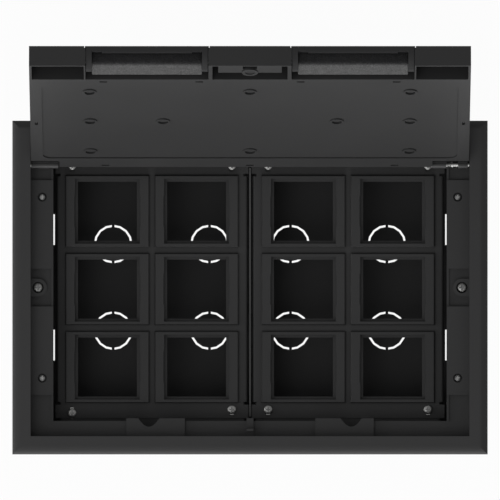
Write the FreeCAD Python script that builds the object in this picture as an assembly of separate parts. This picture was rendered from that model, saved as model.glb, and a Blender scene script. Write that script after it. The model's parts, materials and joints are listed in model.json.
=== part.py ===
import FreeCAD, Part
import math
import os

# Floor socket box: a trim frame and steel tray for a raised floor, with twelve 45 mm module
# frames on two accessory plates, and a hinged lid with two cable flaps and a quarter-turn lock.
# Millimetres. The origin is the centre of the tray's underside, +X to the right, +Y to the
# hinge side, +Z up. The lid's pieces are drawn closed, from its hinge axis, with d towards the
# front and h up, and are then turned to the open stop, which is how the box is stored.

V = FreeCAD.Vector
X_AXIS = V(1, 0, 0)

# Trim and floor frame
BOX_HEIGHT = 100.0       # tray underside to the top of the trim
TRIM_X = 329.0
TRIM_Y = 231.0
TRIM_T = 4.0             # thickness of the trim flange
TRIM_EDGE = 1.2          # upright edge below the bevel
BEVEL_W = 4.6
WELL_X = 303.8           # clear opening that the lid closes
WELL_Y = 205.8
SKIRT_T = 2.0
FRAME_DEPTH = 30.0       # top of the trim to the tray's flange
LEDGE_W = 15.6           # side ledge, wall to inner edge
FRONT_LEDGE_W = 10.4
LEDGE_DROP = 19.0        # top of the trim to the low ledge
PAD_DROP = 15.0          # top of the trim to the raised pads
LEDGE_T = 2.5
LIP_T = 1.5              # skirt and upstand along the ledges' inner edge
LIP_RISE = 2.0
SIDE_PAD_IN = 13.1       # side pads, from the middle of the side
SIDE_PAD_OUT = 74.4
FRONT_PAD_X = 65.45      # middle of each front pad
FRONT_PAD_W = 40.5
FRONT_PAD_REACH = 1.9    # front pads stand in from the ledge's edge
NOTCH_X = 70.1           # finger notch in each front pad
NOTCH_W = 14.7
NOTCH_DEPTH = 5.8
NOTCH_SHOULDER = 5.2     # how far the notch's ends lean in before it turns
RIB_W = 4.8              # middle rib of the front ledge
RIB_DROP = 16.0

# Hinge and lid
HINGE_SETBACK = 17.8     # well's rear edge to the hinge axis
HINGE_DROP = 11.9        # top of the trim to the hinge axis
LEDGE_PAST_AXIS = 1.4    # ledges run this far behind the hinge axis
LID_T = 14.6
LID_SIDE_GAP = 0.4
LID_FRONT_GAP = 0.6
LID_REAR_GAP = 0.4
LEAN_GAP = 0.2           # open lid to the well's rear edge
REAR_LIP_T = 3.0         # lid's lip behind the hinge axis
LID_BACK = 2.4           # hinge axis to the lid's rear wall
KNUCKLE_POCKET_D = 13.5  # hinge axis to where the barrels' pockets run out of the underside
KNUCKLE_POCKET_H = 2.0   # and their height at the lid's rear wall
KNUCKLE_GAP = 0.9        # barrel's inner end to the pocket's side
WEB_T = 2.4              # web between that height and the barrel
BARREL_R = 2.6
PIN_R = 1.5
FIT = 0.05               # radial clearance of turning and sliding fits
PIN_REACH = 1.3          # how far a pin enters the frame's wall
LEFT_BARREL_L = 18.7
BARREL_NOTCH_L = 3.8
BARREL_NOTCH_H = 1.3
SEG_A_L = 9.8            # inner barrel of the release hinge
WINDOW_L = 8.1
SEG_B_L = 6.6
PIN_HEAD_R = 2.2
PIN_HEAD_T = 0.8
PIN_TRAVEL = 1.5
COLLAR_T = 0.6
SPRING_L = 3.8
SPRING_WIRE_R = 0.22
SPRING_TURNS = 3

STRIP_W = 25.0           # front strip of the lid, with the flaps and the lock
SKIN_T = 2.5
FRONT_WALL_T = 1.4
END_BLOCK_W = 38.6       # lid's side to the cable opening
END_BLOCK_WALL_IN = 1.1
END_BLOCK_WALL_OUT = 1.7
MID_BLOCK_W = 57.0
MID_BLOCK_WALL = 2.7
PANEL_MARGIN_X = 8.3     # recessed panel of the lid's underside
PANEL_BACK = 18.1
PANEL_FRONT = 151.8
PANEL_DEPTH = 1.0
PANEL_R = 6.0
BOSS_R = 4.85
BOSS_HOLE_R = 3.5
BOSS_OUT_X = 110.2
BOSS_IN_X = 59.9
BOSS_ROWS = (29.9, 84.7, 138.0)
COVERING_DEPTH = 5.0     # floor covering let into the lid's top
LID_PLATE_T = 1.0
COVER_RIM = 2.5
COVER_BACK = 3.9
COVER_FRONT_RIM = 2.1
PLATE_GAP = 0.3
CELL_FLOOR = 1.9         # lid's lower skin under the rib cells
CELL_COLUMNS = 4
CELL_ROWS = 2
RIB_T = 1.6
SLOT_W = 5.2             # slots for the lid plate's tabs
SLOT_D = 2.0
FRONT_SLOT_X = (34.8, 100.7)
REAR_SLOT_X = 100.0
FRONT_SLOT_INSET = 2.3   # recess's front and rear walls to the slots' middle
REAR_SLOT_INSET = 1.5
SIDE_SLOT_INSET = 4.2
SIDE_SLOT_D = 82.2
TAB_T = 1.0
TAB_W = 4.0

# Cable flaps
FLAP_GAP = 0.5
FLAP_T = 2.6
FLAP_BARREL_R = 2.0
FLAP_LIP_T = 3.0
FLAP_LIP_H = 3.6
FLAP_LIP_MID_H = 4.3
FLAP_LIP_MID_INSET = 7.0
CHEEK_W = 3.9
CHEEK_H = 15.6
STUB_R = 1.7
STUB_L = 1.5
LAP_W = 0.8              # flap's top edges lap over the opening's sides
LAP_T = 1.1
LAP_GAP = 0.1
FOAM_H = 9.7
FOAM_FRONT = 3.4         # flap's front to the foam's front
FOAM_BACK = 2.6          # opening's rear wall to the foam's back

# Lock
LOCK_SETBACK = 10.5      # lid's front to the lock axis
CARRIER_W = 43.5
CARRIER_T = 2.0
CARRIER_BACK = 12.6
CARRIER_NOTCH_W = 9.8
CARRIER_NOTCH_D = 3.6
RING_R = 5.5
RING_RISE = 1.0
RING_UP = 1.2
LOCK_HEAD_R = 7.0
LOCK_HEAD_T = 1.8
LOCK_STEM_R = 4.0
LOCK_FOOT_R = 3.3
LOCK_FOOT_RECESS = 0.7
COIN_SLOT_W = 1.6
COIN_SLOT_DEPTH = 1.0
DRIVE_W = 4.0            # barrel's square that carries the cam
CAM_T = 2.0
CAM_W = 2.4
CAM_REACH = 7.9
CAM_UP = 4.7             # lid's underside to the cam
HOOK_SETBACK = 2.9       # lid's front to the catch hook's front face
HOOK_T = 1.7
HOOK_WEB = 1.0
HOOK_NOSE = 2.0
HOOK_GAP = 0.3

# Tray, brackets and divider
STEEL_T = 1.2
TRAY_GAP = 0.4           # frame's inner skirt to the tray's wall
TROUGH_GAP = 0.5         # swing of the lid to the tray's rear wall
LUG_W = 11.6
FIX_HOLE_R = 2.6
FIX_INSET_X = 12.0
FIX_INSET_Y = 17.0
KNOCK_R = 13.4
KNOCK_SLOT = 1.4
KNOCK_BRIDGE = 1.9
KNOCK_X = (28.2, 95.3)
KNOCK_Y = 30.15
WALL_KNOCK_W = 50.0      # trunking knock-outs in the walls
WALL_KNOCK_H = 25.0
WALL_KNOCK_Y = 52.0
WALL_KNOCK_Z = 27.0
KNOCK_SHEAR = 0.4
DRAIN_Y = (29.5, 50.9)   # slots along the side walls
DRAIN_INSET = 2.3
DRAIN_W = 2.0
TAG_X = 45.4
TAG_Y = 47.7
TAG_W = 2.1
TAG_L = 6.3
TAG_H = 0.6
BRACKET_PAST_SLOT = 6.0  # bracket's inner edge to the middle of the plate's slots
BRACKET_LEG = 16.0
BRACKET_X = (4.0, 131.6)
DIVIDER_T = 1.0
DIVIDER_FRONT = 89.6
DIVIDER_BACK = 83.0
DIVIDER_FOOT = 12.0
DIVIDER_PROUD = 0.8
DIVIDER_ARCH_R = 12.0

# Accessory plates and module frames
PLATE_DROP = 48.0        # top of the trim to the plates' top
PLATE_T = 1.2
PLATE_END_GAP = 1.8      # mouth's front edge to the plates
PLATE_REAR_GAP = 8.7     # plates to the tray's rear wall
PLATE_SIDE_GAP = 1.3
PLATE_MID_GAP = 1.1
TAB_STEP = 0.6           # corner tabs stand out from the folded sides
FOLD_H = 12.0
FOLD_R = 1.6
RELIEF_W = 1.9
RELIEF_DEPTH = 3.0
RELIEF_INSET = 10.3
MODULE_X = 58.2
MODULE_Y = 49.8
MODULE_PITCH_X = 61.9
MODULE_PITCH_Y = 54.1
MODULE_ROWS = 3
BEZEL_H = 3.0
BEZEL_CHAMFER = 0.6
APERTURE = 45.0
SEAT_W = 2.0             # ledge that a module rests on
SEAT_DEPTH = 7.0
SEAT_T = 1.5
SLEEVE_X = 51.6
SLEEVE_Y = 47.2
SLEEVE_GAP = 0.2
CLIP_L = 21.3
CLIP_DEPTH = 0.5
CLIP_H = 4.0
BARB_L = 12.0
BARB_H = 3.0
BARB_OUT = 0.8

# Screws
PLATE_SCREW_R = 1.95
PLATE_HEAD_R = 2.95
PLATE_HEAD_H = 2.2
PLATE_SCREW_L = 8.0
SLOT_HALF_W = 2.2
SLOT_LENGTH = 7.2
SCREW_INSET_X = 10.9     # plate's folded sides to the screws
SLOT_INSET = 4.8         # plate's ends to the slots' middle
SCREW_SHIFT = 1.2        # screws to the middle of their slots
FRAME_SCREW_R = 1.5
FRAME_HEAD_R = 2.4
FRAME_HEAD_H = 1.8
FRAME_SCREW_L = 17.0
FRAME_SCREW_INSET = 8.0
FRAME_SCREW_Y = 62.7
FRAME_BORE_R = 3.2
FRAME_BORE_DEPTH = 3.0
FRAME_BOSS_W = 8.0
CLAMP_INSET = 5.1
CLAMP_BOSS_R = 6.1
CLAMP_BORE_R = 3.95
CLAMP_BORE_DEPTH = 5.0
CLAMP_SCREW_R = 2.0
CLAMP_HEAD_R = 3.4
CLAMP_HEAD_H = 2.6
CLAMP_SCREW_L = 56.0
HEAD_LIFT = 0.05         # clamp screw's head over its seat
JAW_HUB_R = 5.4
JAW_H = 8.0
JAW_ARM_L = 16.0
JAW_ARM_W = 8.6
JAW_ARM_T = 4.0
JAW_TOOTH = 2.0
JAW_DROP = 16.0          # frame's underside to the stowed jaw
SCREW_SIDES = 12
DISC_SIDES = 16          # knock-outs, bores and bosses

# Places that follow from the sizes above
TOP = BOX_HEIGHT
HALF_X = WELL_X / 2
HALF_Y = WELL_Y / 2
FLANGE_Z = TOP - FRAME_DEPTH
LEDGE_Z = TOP - LEDGE_DROP
PAD_Z = TOP - PAD_DROP
MOUTH_X = HALF_X - LEDGE_W
MOUTH_Y = HALF_Y - FRONT_LEDGE_W
AXIS_Y = HALF_Y - HINGE_SETBACK
AXIS_Z = TOP - HINGE_DROP
TROUGH_R = math.hypot(HINGE_SETBACK, HINGE_DROP)
BACK_Y = AXIS_Y + TROUGH_R + SKIRT_T
LEDGE_END = AXIS_Y + LEDGE_PAST_AXIS
LEAN = math.degrees(math.asin((HINGE_DROP + LEAN_GAP) / TROUGH_R))
EDGE = math.degrees(math.asin(HINGE_DROP / TROUGH_R))
OPEN_ANGLE = 180 - LEAN - EDGE

LID_X = HALF_X - LID_SIDE_GAP
LID_D = HALF_Y + AXIS_Y - LID_FRONT_GAP
LID_TOP = HINGE_DROP
LID_LOW = LID_TOP - LID_T
LID_REAR = LID_REAR_GAP - HINGE_SETBACK
STRIP_D = LID_D - STRIP_W
POCKET_TOP = LID_TOP - SKIN_T
COVER_LOW = LID_TOP - COVERING_DEPTH - LID_PLATE_T
OPENING_OUT = LID_X - END_BLOCK_W
OPENING_IN = MID_BLOCK_W / 2
FLAP_OUT = OPENING_OUT - FLAP_GAP
FLAP_IN = OPENING_IN + FLAP_GAP
FLAP_D = STRIP_D + LID_REAR_GAP + FLAP_BARREL_R
FLAP_H = LID_TOP - FLAP_BARREL_R
FLAP_R = LID_D - FLAP_D
LOCK_D = LID_D - LOCK_SETBACK
FRONT_SLOT_D = STRIP_D - COVER_FRONT_RIM - FRONT_SLOT_INSET
REAR_SLOT_D = COVER_BACK + REAR_SLOT_INSET
CAM_LOW = LID_LOW + CAM_UP
SPRING_STEPS = 12        # straight lengths in one turn of the spring
SPRING_R = (PIN_R + FIT + math.sqrt(2) * SPRING_WIRE_R) / math.cos(math.pi / SPRING_STEPS)
SEG_B_END = LID_X - LID_SIDE_GAP - LID_REAR_GAP
SEG_B_START = SEG_B_END - SEG_B_L
SEG_A_END = SEG_B_START - WINDOW_L
SEG_A_START = SEG_A_END - SEG_A_L

TRAY_X = MOUTH_X + LIP_T + TRAY_GAP
TRAY_Y = AXIS_Y + math.sqrt(TROUGH_R ** 2 - (AXIS_Z - FLANGE_Z) ** 2) + TROUGH_GAP
PLATE_TOP = TOP - PLATE_DROP
PLATE_LOW = PLATE_TOP - PLATE_T
PLATE_FRONT = -(MOUTH_Y - PLATE_END_GAP)
PLATE_BACK = TRAY_Y - PLATE_REAR_GAP
PLATE_MID_Y = (PLATE_FRONT + PLATE_BACK) / 2
PLATE_IN = PLATE_MID_GAP
PLATE_OUT = MOUTH_X - PLATE_SIDE_GAP
FOLD_IN = PLATE_IN + TAB_STEP
FOLD_OUT = PLATE_OUT - TAB_STEP
PLATE_MID_X = (FOLD_IN + FOLD_OUT) / 2
SCREW_XS = (FOLD_IN + SCREW_INSET_X, FOLD_OUT - SCREW_INSET_X)
CLAMP_X = HALF_X - CLAMP_INSET
CLAMP_BOSS_Z = PAD_Z - LEAN_GAP
CLAMP_SEAT_Z = CLAMP_BOSS_Z - CLAMP_BORE_DEPTH
FRAME_SCREW_X = HALF_X - FRAME_SCREW_INSET
FRAME_SEAT_Z = PAD_Z - FRAME_BORE_DEPTH
JAW_Z = FLANGE_Z - JAW_DROP
PAST = 1.0               # how far a cutting shape runs past a face


# Basic shapes

def box(x, y, z):
    low = V(min(x), min(y), min(z))
    high = V(max(x), max(y), max(z))
    size = high - low
    return Part.makeBox(size.x, size.y, size.z, low)


def centred(x, y, size_x, size_y, z):
    return box((x - size_x / 2, x + size_x / 2), (y - size_y / 2, y + size_y / 2), z)


def rod(radius, start, end):
    along = end - start
    return Part.makeCylinder(radius, along.Length, start, along)


def upright(radius, x, y, z):
    return rod(radius, V(x, y, min(z)), V(x, y, max(z)))


def flat_sided(radius, x, y, z, sides=SCREW_SIDES):
    """Upright prism of many sides, which stands for a round where rounds repeat."""
    turn = 2 * math.pi / sides
    corners = [V(x + radius * math.cos(k * turn), y + radius * math.sin(k * turn), min(z))
               for k in range(sides)]
    return prism(corners, V(0, 0, max(z) - min(z)))


def rounded_slab(x, y, z, radius):
    slab = box(x, y, z)
    corners = [e for e in slab.Edges if abs(e.tangentAt(e.FirstParameter).z) > 0.5]
    return slab.makeFillet(radius, corners)


def prism(points, along):
    wire = Part.makePolygon(points + [points[0]])
    return Part.Face(wire).extrude(along)


def fused(shapes):
    return shapes[0].fuse(shapes[1:]).removeSplitter()


def both_sides(make):
    return [make(1), make(-1)]


def mirror_x(shape):
    return shape.mirror(V(0, 0, 0), X_AXIS)


# Lid coordinates: d is the distance in front of the hinge axis, h the height over it

def at_lid(x, d, h):
    return V(x, AXIS_Y - d, AXIS_Z + h)


def lid_box(x, d, h):
    return box(x, (AXIS_Y - d[0], AXIS_Y - d[1]), (AXIS_Z + h[0], AXIS_Z + h[1]))


def lid_upright(radius, x, d, h):
    return rod(radius, at_lid(x, d, min(h)), at_lid(x, d, max(h)))


def lid_cross(radius, x, d, h):
    return rod(radius, at_lid(min(x), d, h), at_lid(max(x), d, h))


def opened(shape):
    turned = shape.copy()
    turned.rotate(at_lid(0, 0, 0), X_AXIS, -OPEN_ANGLE)
    return turned


# Screws, all with their axis along Z and their head's seat at z

def screw(x, y, z, shank_r, head_r, head_h, length, post=flat_sided):
    return fused([post(shank_r, x, y, (z - length, z)), flat_sided(head_r, x, y, (z, z + head_h))])


# Floor frame

def trim_ring():
    half_x = TRIM_X / 2
    half_y = TRIM_Y / 2
    low = TOP - TRIM_T
    shoulder = low + TRIM_EDGE
    slab = box((-half_x, half_x), (-half_y, half_y), (low, shoulder))

    def outline(inset, z):
        x = half_x - inset
        y = half_y - inset
        corners = [V(-x, -y, z), V(x, -y, z), V(x, y, z), V(-x, y, z)]
        return Part.makePolygon(corners + [corners[0]])

    bevel = Part.makeLoft([outline(0, shoulder), outline(BEVEL_W, TOP)], True, True)
    return slab.fuse(bevel)


def behind_axis(radius):
    """Half of a cylinder about the hinge axis, on the side behind the lid's rear wall."""
    whole = lid_cross(radius, (-HALF_X, HALF_X), 0, 0)
    keep = box((-HALF_X, HALF_X), (LEDGE_END, LEDGE_END + 2 * radius),
               (AXIS_Z - 2 * radius, AXIS_Z + 2 * radius))
    return whole.common(keep)


def under_ledges():
    """The room below the ledges, which leaves the lip along their inner edge."""
    room = box((-HALF_X, HALF_X), (-HALF_Y, BACK_Y - SKIRT_T),
               (FLANGE_Z - PAST, LEDGE_Z - LEDGE_T))
    lip = box((-MOUTH_X - LIP_T, MOUTH_X + LIP_T), (-MOUTH_Y - LIP_T, LEDGE_END + LIP_T),
              (FLANGE_Z - PAST, LEDGE_Z))
    return room.cut(lip).cut(behind_axis(TROUGH_R + SKIRT_T))


def side_pad(side, end):
    x = (side * HALF_X, side * MOUTH_X)
    y = (end * SIDE_PAD_IN, end * SIDE_PAD_OUT)
    pad = box(x, y, (LEDGE_Z - LEDGE_T, PAD_Z))
    under = box((side * HALF_X, side * (MOUTH_X + LIP_T)),
                (end * (SIDE_PAD_IN + LIP_T), end * (SIDE_PAD_OUT - LIP_T)),
                (LEDGE_Z - LEDGE_T - PAST, PAD_Z - LEDGE_T))
    return pad.cut(under)


def side_lip(side):
    return box((side * MOUTH_X, side * (MOUTH_X + LIP_T)), (-MOUTH_Y, LEDGE_END),
               (LEDGE_Z - LEDGE_T, LEDGE_Z + LIP_RISE))


def front_block(x0, x1, top):
    """A raised block of the front ledge, hollow below unless it is a narrow rib."""
    inner = -(MOUTH_Y - FRONT_PAD_REACH)
    block = box((x0, x1), (-HALF_Y, inner), (FLANGE_Z, top))
    if x1 - x0 <= RIB_W:
        low = box((x0, x1), (-HALF_Y, -MOUTH_Y), (FLANGE_Z, LEDGE_Z - LEDGE_T))
        return block.cut(low)
    under = box((x0 + LIP_T, x1 - LIP_T), (-HALF_Y, inner - LIP_T),
                (FLANGE_Z - PAST, top - LEDGE_T))
    return block.cut(under)


def finger_notch(x):
    edge = -(MOUTH_Y - FRONT_PAD_REACH)
    half = NOTCH_W / 2
    pull = NOTCH_DEPTH * 4 / 3  # the curve reaches three quarters of the way to its poles
    curve = Part.BezierCurve()
    curve.setPoles([V(x - half, edge, FLANGE_Z - PAST),
                    V(x - half + NOTCH_SHOULDER, edge - pull, FLANGE_Z - PAST),
                    V(x + half - NOTCH_SHOULDER, edge - pull, FLANGE_Z - PAST),
                    V(x + half, edge, FLANGE_Z - PAST)])
    outline = [curve.toShape(), Part.makeLine(V(x + half, edge, FLANGE_Z - PAST),
                                              V(x - half, edge, FLANGE_Z - PAST))]
    return Part.Face(Part.Wire(outline)).extrude(V(0, 0, FRAME_DEPTH))


def catch_hook():
    """Post on the middle rib, notched on one side, so that the lock's cam turns in under it."""
    front = AXIS_Y - (LID_D - HOOK_SETBACK)
    half = RIB_W / 2
    low = TOP - RIB_DROP
    cam = (AXIS_Z + CAM_LOW - HOOK_GAP, AXIS_Z + CAM_LOW + CAM_T + HOOK_GAP)
    post = box((-half, half), (front, front + HOOK_T), (low, cam[1] + HOOK_NOSE))
    return post.cut(box((HOOK_WEB - half, half), (front, front + HOOK_T), cam))


def clamp_boss(side):
    x = side * CLAMP_X
    z = (FLANGE_Z + LIP_T, CLAMP_BOSS_Z)
    round_end = upright(CLAMP_BOSS_R, x, 0, z)
    to_wall = box((x, side * HALF_X), (-CLAMP_BOSS_R, CLAMP_BOSS_R), z)
    return round_end.fuse(to_wall).common(box((-HALF_X, HALF_X), (-HALF_Y, HALF_Y), z))


def clamp_bores(side):
    x = side * CLAMP_X
    wide = flat_sided(CLAMP_BORE_R, x, 0, (CLAMP_SEAT_Z, TOP), DISC_SIDES)
    return wide.fuse(upright(CLAMP_SCREW_R + FIT, x, 0, (FLANGE_Z, TOP)))


def screw_places(x, y):
    return [(sx * x, sy * y) for sx in (-1, 1) for sy in (-1, 1)]


def frame_bosses():
    return [centred(x, y, FRAME_BOSS_W, FRAME_BOSS_W, (FLANGE_Z, PAD_Z - LEDGE_T))
            for x, y in screw_places(FRAME_SCREW_X, FRAME_SCREW_Y)]


def frame_bores():
    bores = []
    for x, y in screw_places(FRAME_SCREW_X, FRAME_SCREW_Y):
        bores.append(flat_sided(FRAME_BORE_R, x, y, (FRAME_SEAT_Z, TOP), DISC_SIDES))
        bores.append(flat_sided(FRAME_SCREW_R + FIT, x, y, (FLANGE_Z - PAST, TOP)))
    return bores


def floor_frame():
    outer_x = HALF_X + SKIRT_T
    block = box((-outer_x, outer_x), (-HALF_Y - SKIRT_T, BACK_Y), (FLANGE_Z, TOP - TRIM_T))
    well = box((-HALF_X, HALF_X), (-HALF_Y, HALF_Y), (LEDGE_Z, TOP + PAST))
    mouth = box((-MOUTH_X, MOUTH_X), (-MOUTH_Y, LEDGE_END), (FLANGE_Z - PAST, TOP))
    shell = trim_ring().fuse(block).cut([well, mouth, under_ledges()])
    added = frame_bosses() + both_sides(clamp_boss) + both_sides(side_lip) + [catch_hook()]
    added += [side_pad(side, end) for side in (-1, 1) for end in (-1, 1)]
    added.append(front_block(-RIB_W / 2, RIB_W / 2, TOP - RIB_DROP))
    cuts = frame_bores() + both_sides(clamp_bores) + [behind_axis(TROUGH_R)]
    for side in (-1, 1):
        middle = side * FRONT_PAD_X
        added.append(front_block(middle - FRONT_PAD_W / 2, middle + FRONT_PAD_W / 2, PAD_Z))
        cuts.append(finger_notch(side * NOTCH_X))
        cuts.append(lid_cross(PIN_R + FIT, (side * (HALF_X - PAST), side * (outer_x + PAST)), 0, 0))
    return fused([shell] + added).cut(cuts)


# Tray and what it holds

def knock_out(x, y):
    """Four slots round a disc in the base, which stays held by the bridges between them."""
    z = (-PAST, STEEL_T + PAST)
    ring = flat_sided(KNOCK_R, x, y, z, DISC_SIDES)
    ring = ring.cut(flat_sided(KNOCK_R - KNOCK_SLOT, x, y, z, DISC_SIDES))
    return ring.cut([centred(x, y, 2 * KNOCK_R, KNOCK_BRIDGE, z),
                     centred(x, y, KNOCK_BRIDGE, 2 * KNOCK_R, z)])


def base_cuts():
    cuts = []
    for x in KNOCK_X:
        for px, py in screw_places(x, KNOCK_Y):
            cuts.append(knock_out(px, py))
    for side in (-1, 1):
        outer = side * (TRAY_X - DRAIN_INSET + DRAIN_W)
        inner = side * (TRAY_X - DRAIN_INSET)
        for end in (-1, 1):
            y = (end * DRAIN_Y[0], end * DRAIN_Y[1])
            cuts.append(box((inner, outer), y, (-PAST, STEEL_T + PAST)))
    for x, y in screw_places(TRAY_X - FIX_INSET_X, TRAY_Y - FIX_INSET_Y):
        cuts.append(upright(FIX_HOLE_R, x, y, (-PAST, STEEL_T + PAST)))
    return cuts


def wall_knock_outs():
    """Trunking knock-outs in the walls, half sheared, so that each is a shallow recess outside."""
    z = (WALL_KNOCK_Z - WALL_KNOCK_H / 2, WALL_KNOCK_Z + WALL_KNOCK_H / 2)
    cuts = []
    for end in (-1, 1):
        outside = [end * (half + STEEL_T - KNOCK_SHEAR) for half in (TRAY_X, TRAY_Y)]
        past = [end * (half + STEEL_T + PAST) for half in (TRAY_X, TRAY_Y)]
        for side in (-1, 1):
            middle = side * (KNOCK_X[0] + KNOCK_X[1]) / 2
            cuts.append(box((middle - WALL_KNOCK_W / 2, middle + WALL_KNOCK_W / 2),
                            (outside[1], past[1]), z))
            middle = side * WALL_KNOCK_Y
            cuts.append(box((outside[0], past[0]),
                            (middle - WALL_KNOCK_W / 2, middle + WALL_KNOCK_W / 2), z))
    return cuts


def tray_lugs():
    """Flange strips, bent outwards: under each pair of side pads, and along both ends."""
    out_x = TRAY_X + STEEL_T + LUG_W
    out_y = TRAY_Y + STEEL_T + SKIRT_T
    z = (FLANGE_Z - STEEL_T, FLANGE_Z)
    sides = [box((side * TRAY_X, side * out_x), (end * SIDE_PAD_IN, end * SIDE_PAD_OUT), z)
             for side in (-1, 1) for end in (-1, 1)]
    ends = [box((-TRAY_X, TRAY_X), (end * TRAY_Y, end * out_y), z) for end in (-1, 1)]
    return sides + ends


def base_tray():
    out_x = TRAY_X + STEEL_T
    out_y = TRAY_Y + STEEL_T
    outer = box((-out_x, out_x), (-out_y, out_y), (0, FLANGE_Z))
    bends = [e for e in outer.Edges if e.BoundBox.ZLength > PAST]
    outer = outer.makeFillet(2 * STEEL_T, bends)
    inner = box((-TRAY_X, TRAY_X), (-TRAY_Y, TRAY_Y), (STEEL_T, FLANGE_Z + PAST))
    bends = [e for e in inner.Edges if e.BoundBox.ZLength > PAST]
    inner = inner.makeFillet(STEEL_T, bends)
    tags = [box((x - TAG_W / 2, x + TAG_W / 2), (y - TAG_L / 2, y + TAG_L / 2),
                (STEEL_T / 2, STEEL_T + TAG_H)) for x, y in screw_places(TAG_X, TAG_Y)]
    shell = fused([outer.cut(inner)] + tray_lugs() + tags)
    nuts = [nut_hole(x, y, FRAME_SCREW_R, FLANGE_Z) for x, y in screw_places(FRAME_SCREW_X,
                                                                              FRAME_SCREW_Y)]
    swing = lid_cross(TROUGH_R + LEAN_GAP, (-HALF_X, HALF_X), 0, 0)
    return shell.cut(base_cuts() + wall_knock_outs() + nuts + [swing])


def slot_y(end):
    return PLATE_FRONT + SLOT_INSET if end < 0 else PLATE_BACK - SLOT_INSET


def screw_y(side, end, x_index):
    """Each screw stands off the middle of its slot; the outer front left one the other way."""
    lower = side < 0 and end < 0 and x_index == 1
    return slot_y(end) - SCREW_SHIFT if lower else slot_y(end) + SCREW_SHIFT


def nut_hole(x, y, screw_r, top):
    """Square hole in a sheet whose top is given, into which a self-locking nut is pressed."""
    width = 2 * (screw_r + FIT)
    return centred(x, y, width, width, (top - STEEL_T - PAST, top + PAST))


def plate_bracket(side, end):
    """Angle on the tray's end wall that the plate is screwed to."""
    x = (side * BRACKET_X[0], side * BRACKET_X[1])
    wall = end * TRAY_Y
    inner = slot_y(end) - end * BRACKET_PAST_SLOT
    shelf = box(x, (wall, inner), (PLATE_LOW - STEEL_T, PLATE_LOW))
    leg = box(x, (wall, wall - end * STEEL_T), (PLATE_LOW - BRACKET_LEG, PLATE_LOW))
    holes = [nut_hole(side * screw_x, screw_y(side, end, index), PLATE_SCREW_R, PLATE_LOW)
             for index, screw_x in enumerate(SCREW_XS)]
    return fused([shelf, leg]).cut(holes)


def compartment_divider():
    top = PLATE_TOP + DIVIDER_PROUD
    y = (-DIVIDER_FRONT, DIVIDER_BACK)
    sheet = box((-DIVIDER_T / 2, DIVIDER_T / 2), y, (STEEL_T, top))
    foot = box((-DIVIDER_T / 2, DIVIDER_FOOT), y, (STEEL_T, STEEL_T + DIVIDER_T))
    arches = [rod(DIVIDER_ARCH_R, V(-DIVIDER_T, end * KNOCK_Y, STEEL_T),
                  V(DIVIDER_FOOT + PAST, end * KNOCK_Y, STEEL_T)) for end in (-1, 1)]
    return sheet.fuse(foot).removeSplitter().cut(arches)


# Accessory plates and module frames

def relief(x, y, inward):
    return box((x - inward * PAST, x + inward * RELIEF_DEPTH), (y - RELIEF_W / 2, y + RELIEF_W / 2),
               (PLATE_TOP - FOLD_H - PAST, PLATE_TOP + PAST))


def module_places(side):
    """Middles of the module frames of one plate, by column and row."""
    places = []
    for column in (-0.5, 0.5):
        for row in range(MODULE_ROWS):
            y = PLATE_MID_Y + (row - (MODULE_ROWS - 1) / 2) * MODULE_PITCH_Y
            places.append((side * (PLATE_MID_X + column * MODULE_PITCH_X), y))
    return places


def screw_slot(x, y):
    """Long hole whose ends are drawn as half of a flat-sided round."""
    half = SLOT_LENGTH / 2 - SLOT_HALF_W
    z = (PLATE_LOW - PAST, PLATE_TOP + PAST)
    ends = [flat_sided(SLOT_HALF_W, x, y + end * half, z) for end in (-1, 1)]
    return fused([box((x - SLOT_HALF_W, x + SLOT_HALF_W), (y - half, y + half), z)] + ends)


def accessory_plate():
    """The right plate: a sheet with its long sides folded down between corner tabs."""
    fold_y = (PLATE_FRONT + RELIEF_INSET, PLATE_BACK - RELIEF_INSET)
    tray = box((FOLD_IN, FOLD_OUT), fold_y, (PLATE_TOP - FOLD_H, PLATE_TOP))
    bends = [e for e in tray.Edges if e.BoundBox.YLength > PLATE_BACK
             and e.BoundBox.ZMin > PLATE_LOW]
    tray = tray.makeFillet(FOLD_R, bends)
    hollow = box((FOLD_IN + PLATE_T, FOLD_OUT - PLATE_T), fold_y, (0, PLATE_LOW))
    ends = [box((PLATE_IN, PLATE_OUT), y, (PLATE_LOW, PLATE_TOP))
            for y in ((PLATE_FRONT, fold_y[0]), (fold_y[1], PLATE_BACK))]
    sheet = fused([tray.cut(hollow)] + ends)
    cuts = [relief(x, y, inward) for x, inward in ((FOLD_IN, 1), (FOLD_OUT, -1)) for y in fold_y]
    half_x = SLEEVE_X / 2 + SLEEVE_GAP
    half_y = SLEEVE_Y / 2 + SLEEVE_GAP
    for x, y in module_places(1):
        cuts.append(box((x - half_x, x + half_x), (y - half_y, y + half_y),
                        (PLATE_LOW - PAST, PLATE_TOP + PAST)))
    for x in SCREW_XS:
        cuts += [screw_slot(x, slot_y(end)) for end in (-1, 1)]
    return sheet.cut(cuts)


def barb(x, y, side):
    edge = x + side * SLEEVE_X / 2
    outline = [V(edge, y - BARB_L / 2, PLATE_LOW - SLEEVE_GAP),
               V(edge + side * BARB_OUT, y - BARB_L / 2, PLATE_LOW - SLEEVE_GAP),
               V(edge, y - BARB_L / 2, PLATE_LOW - SLEEVE_GAP - BARB_H)]
    return prism(outline, V(0, BARB_L, 0))


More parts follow.
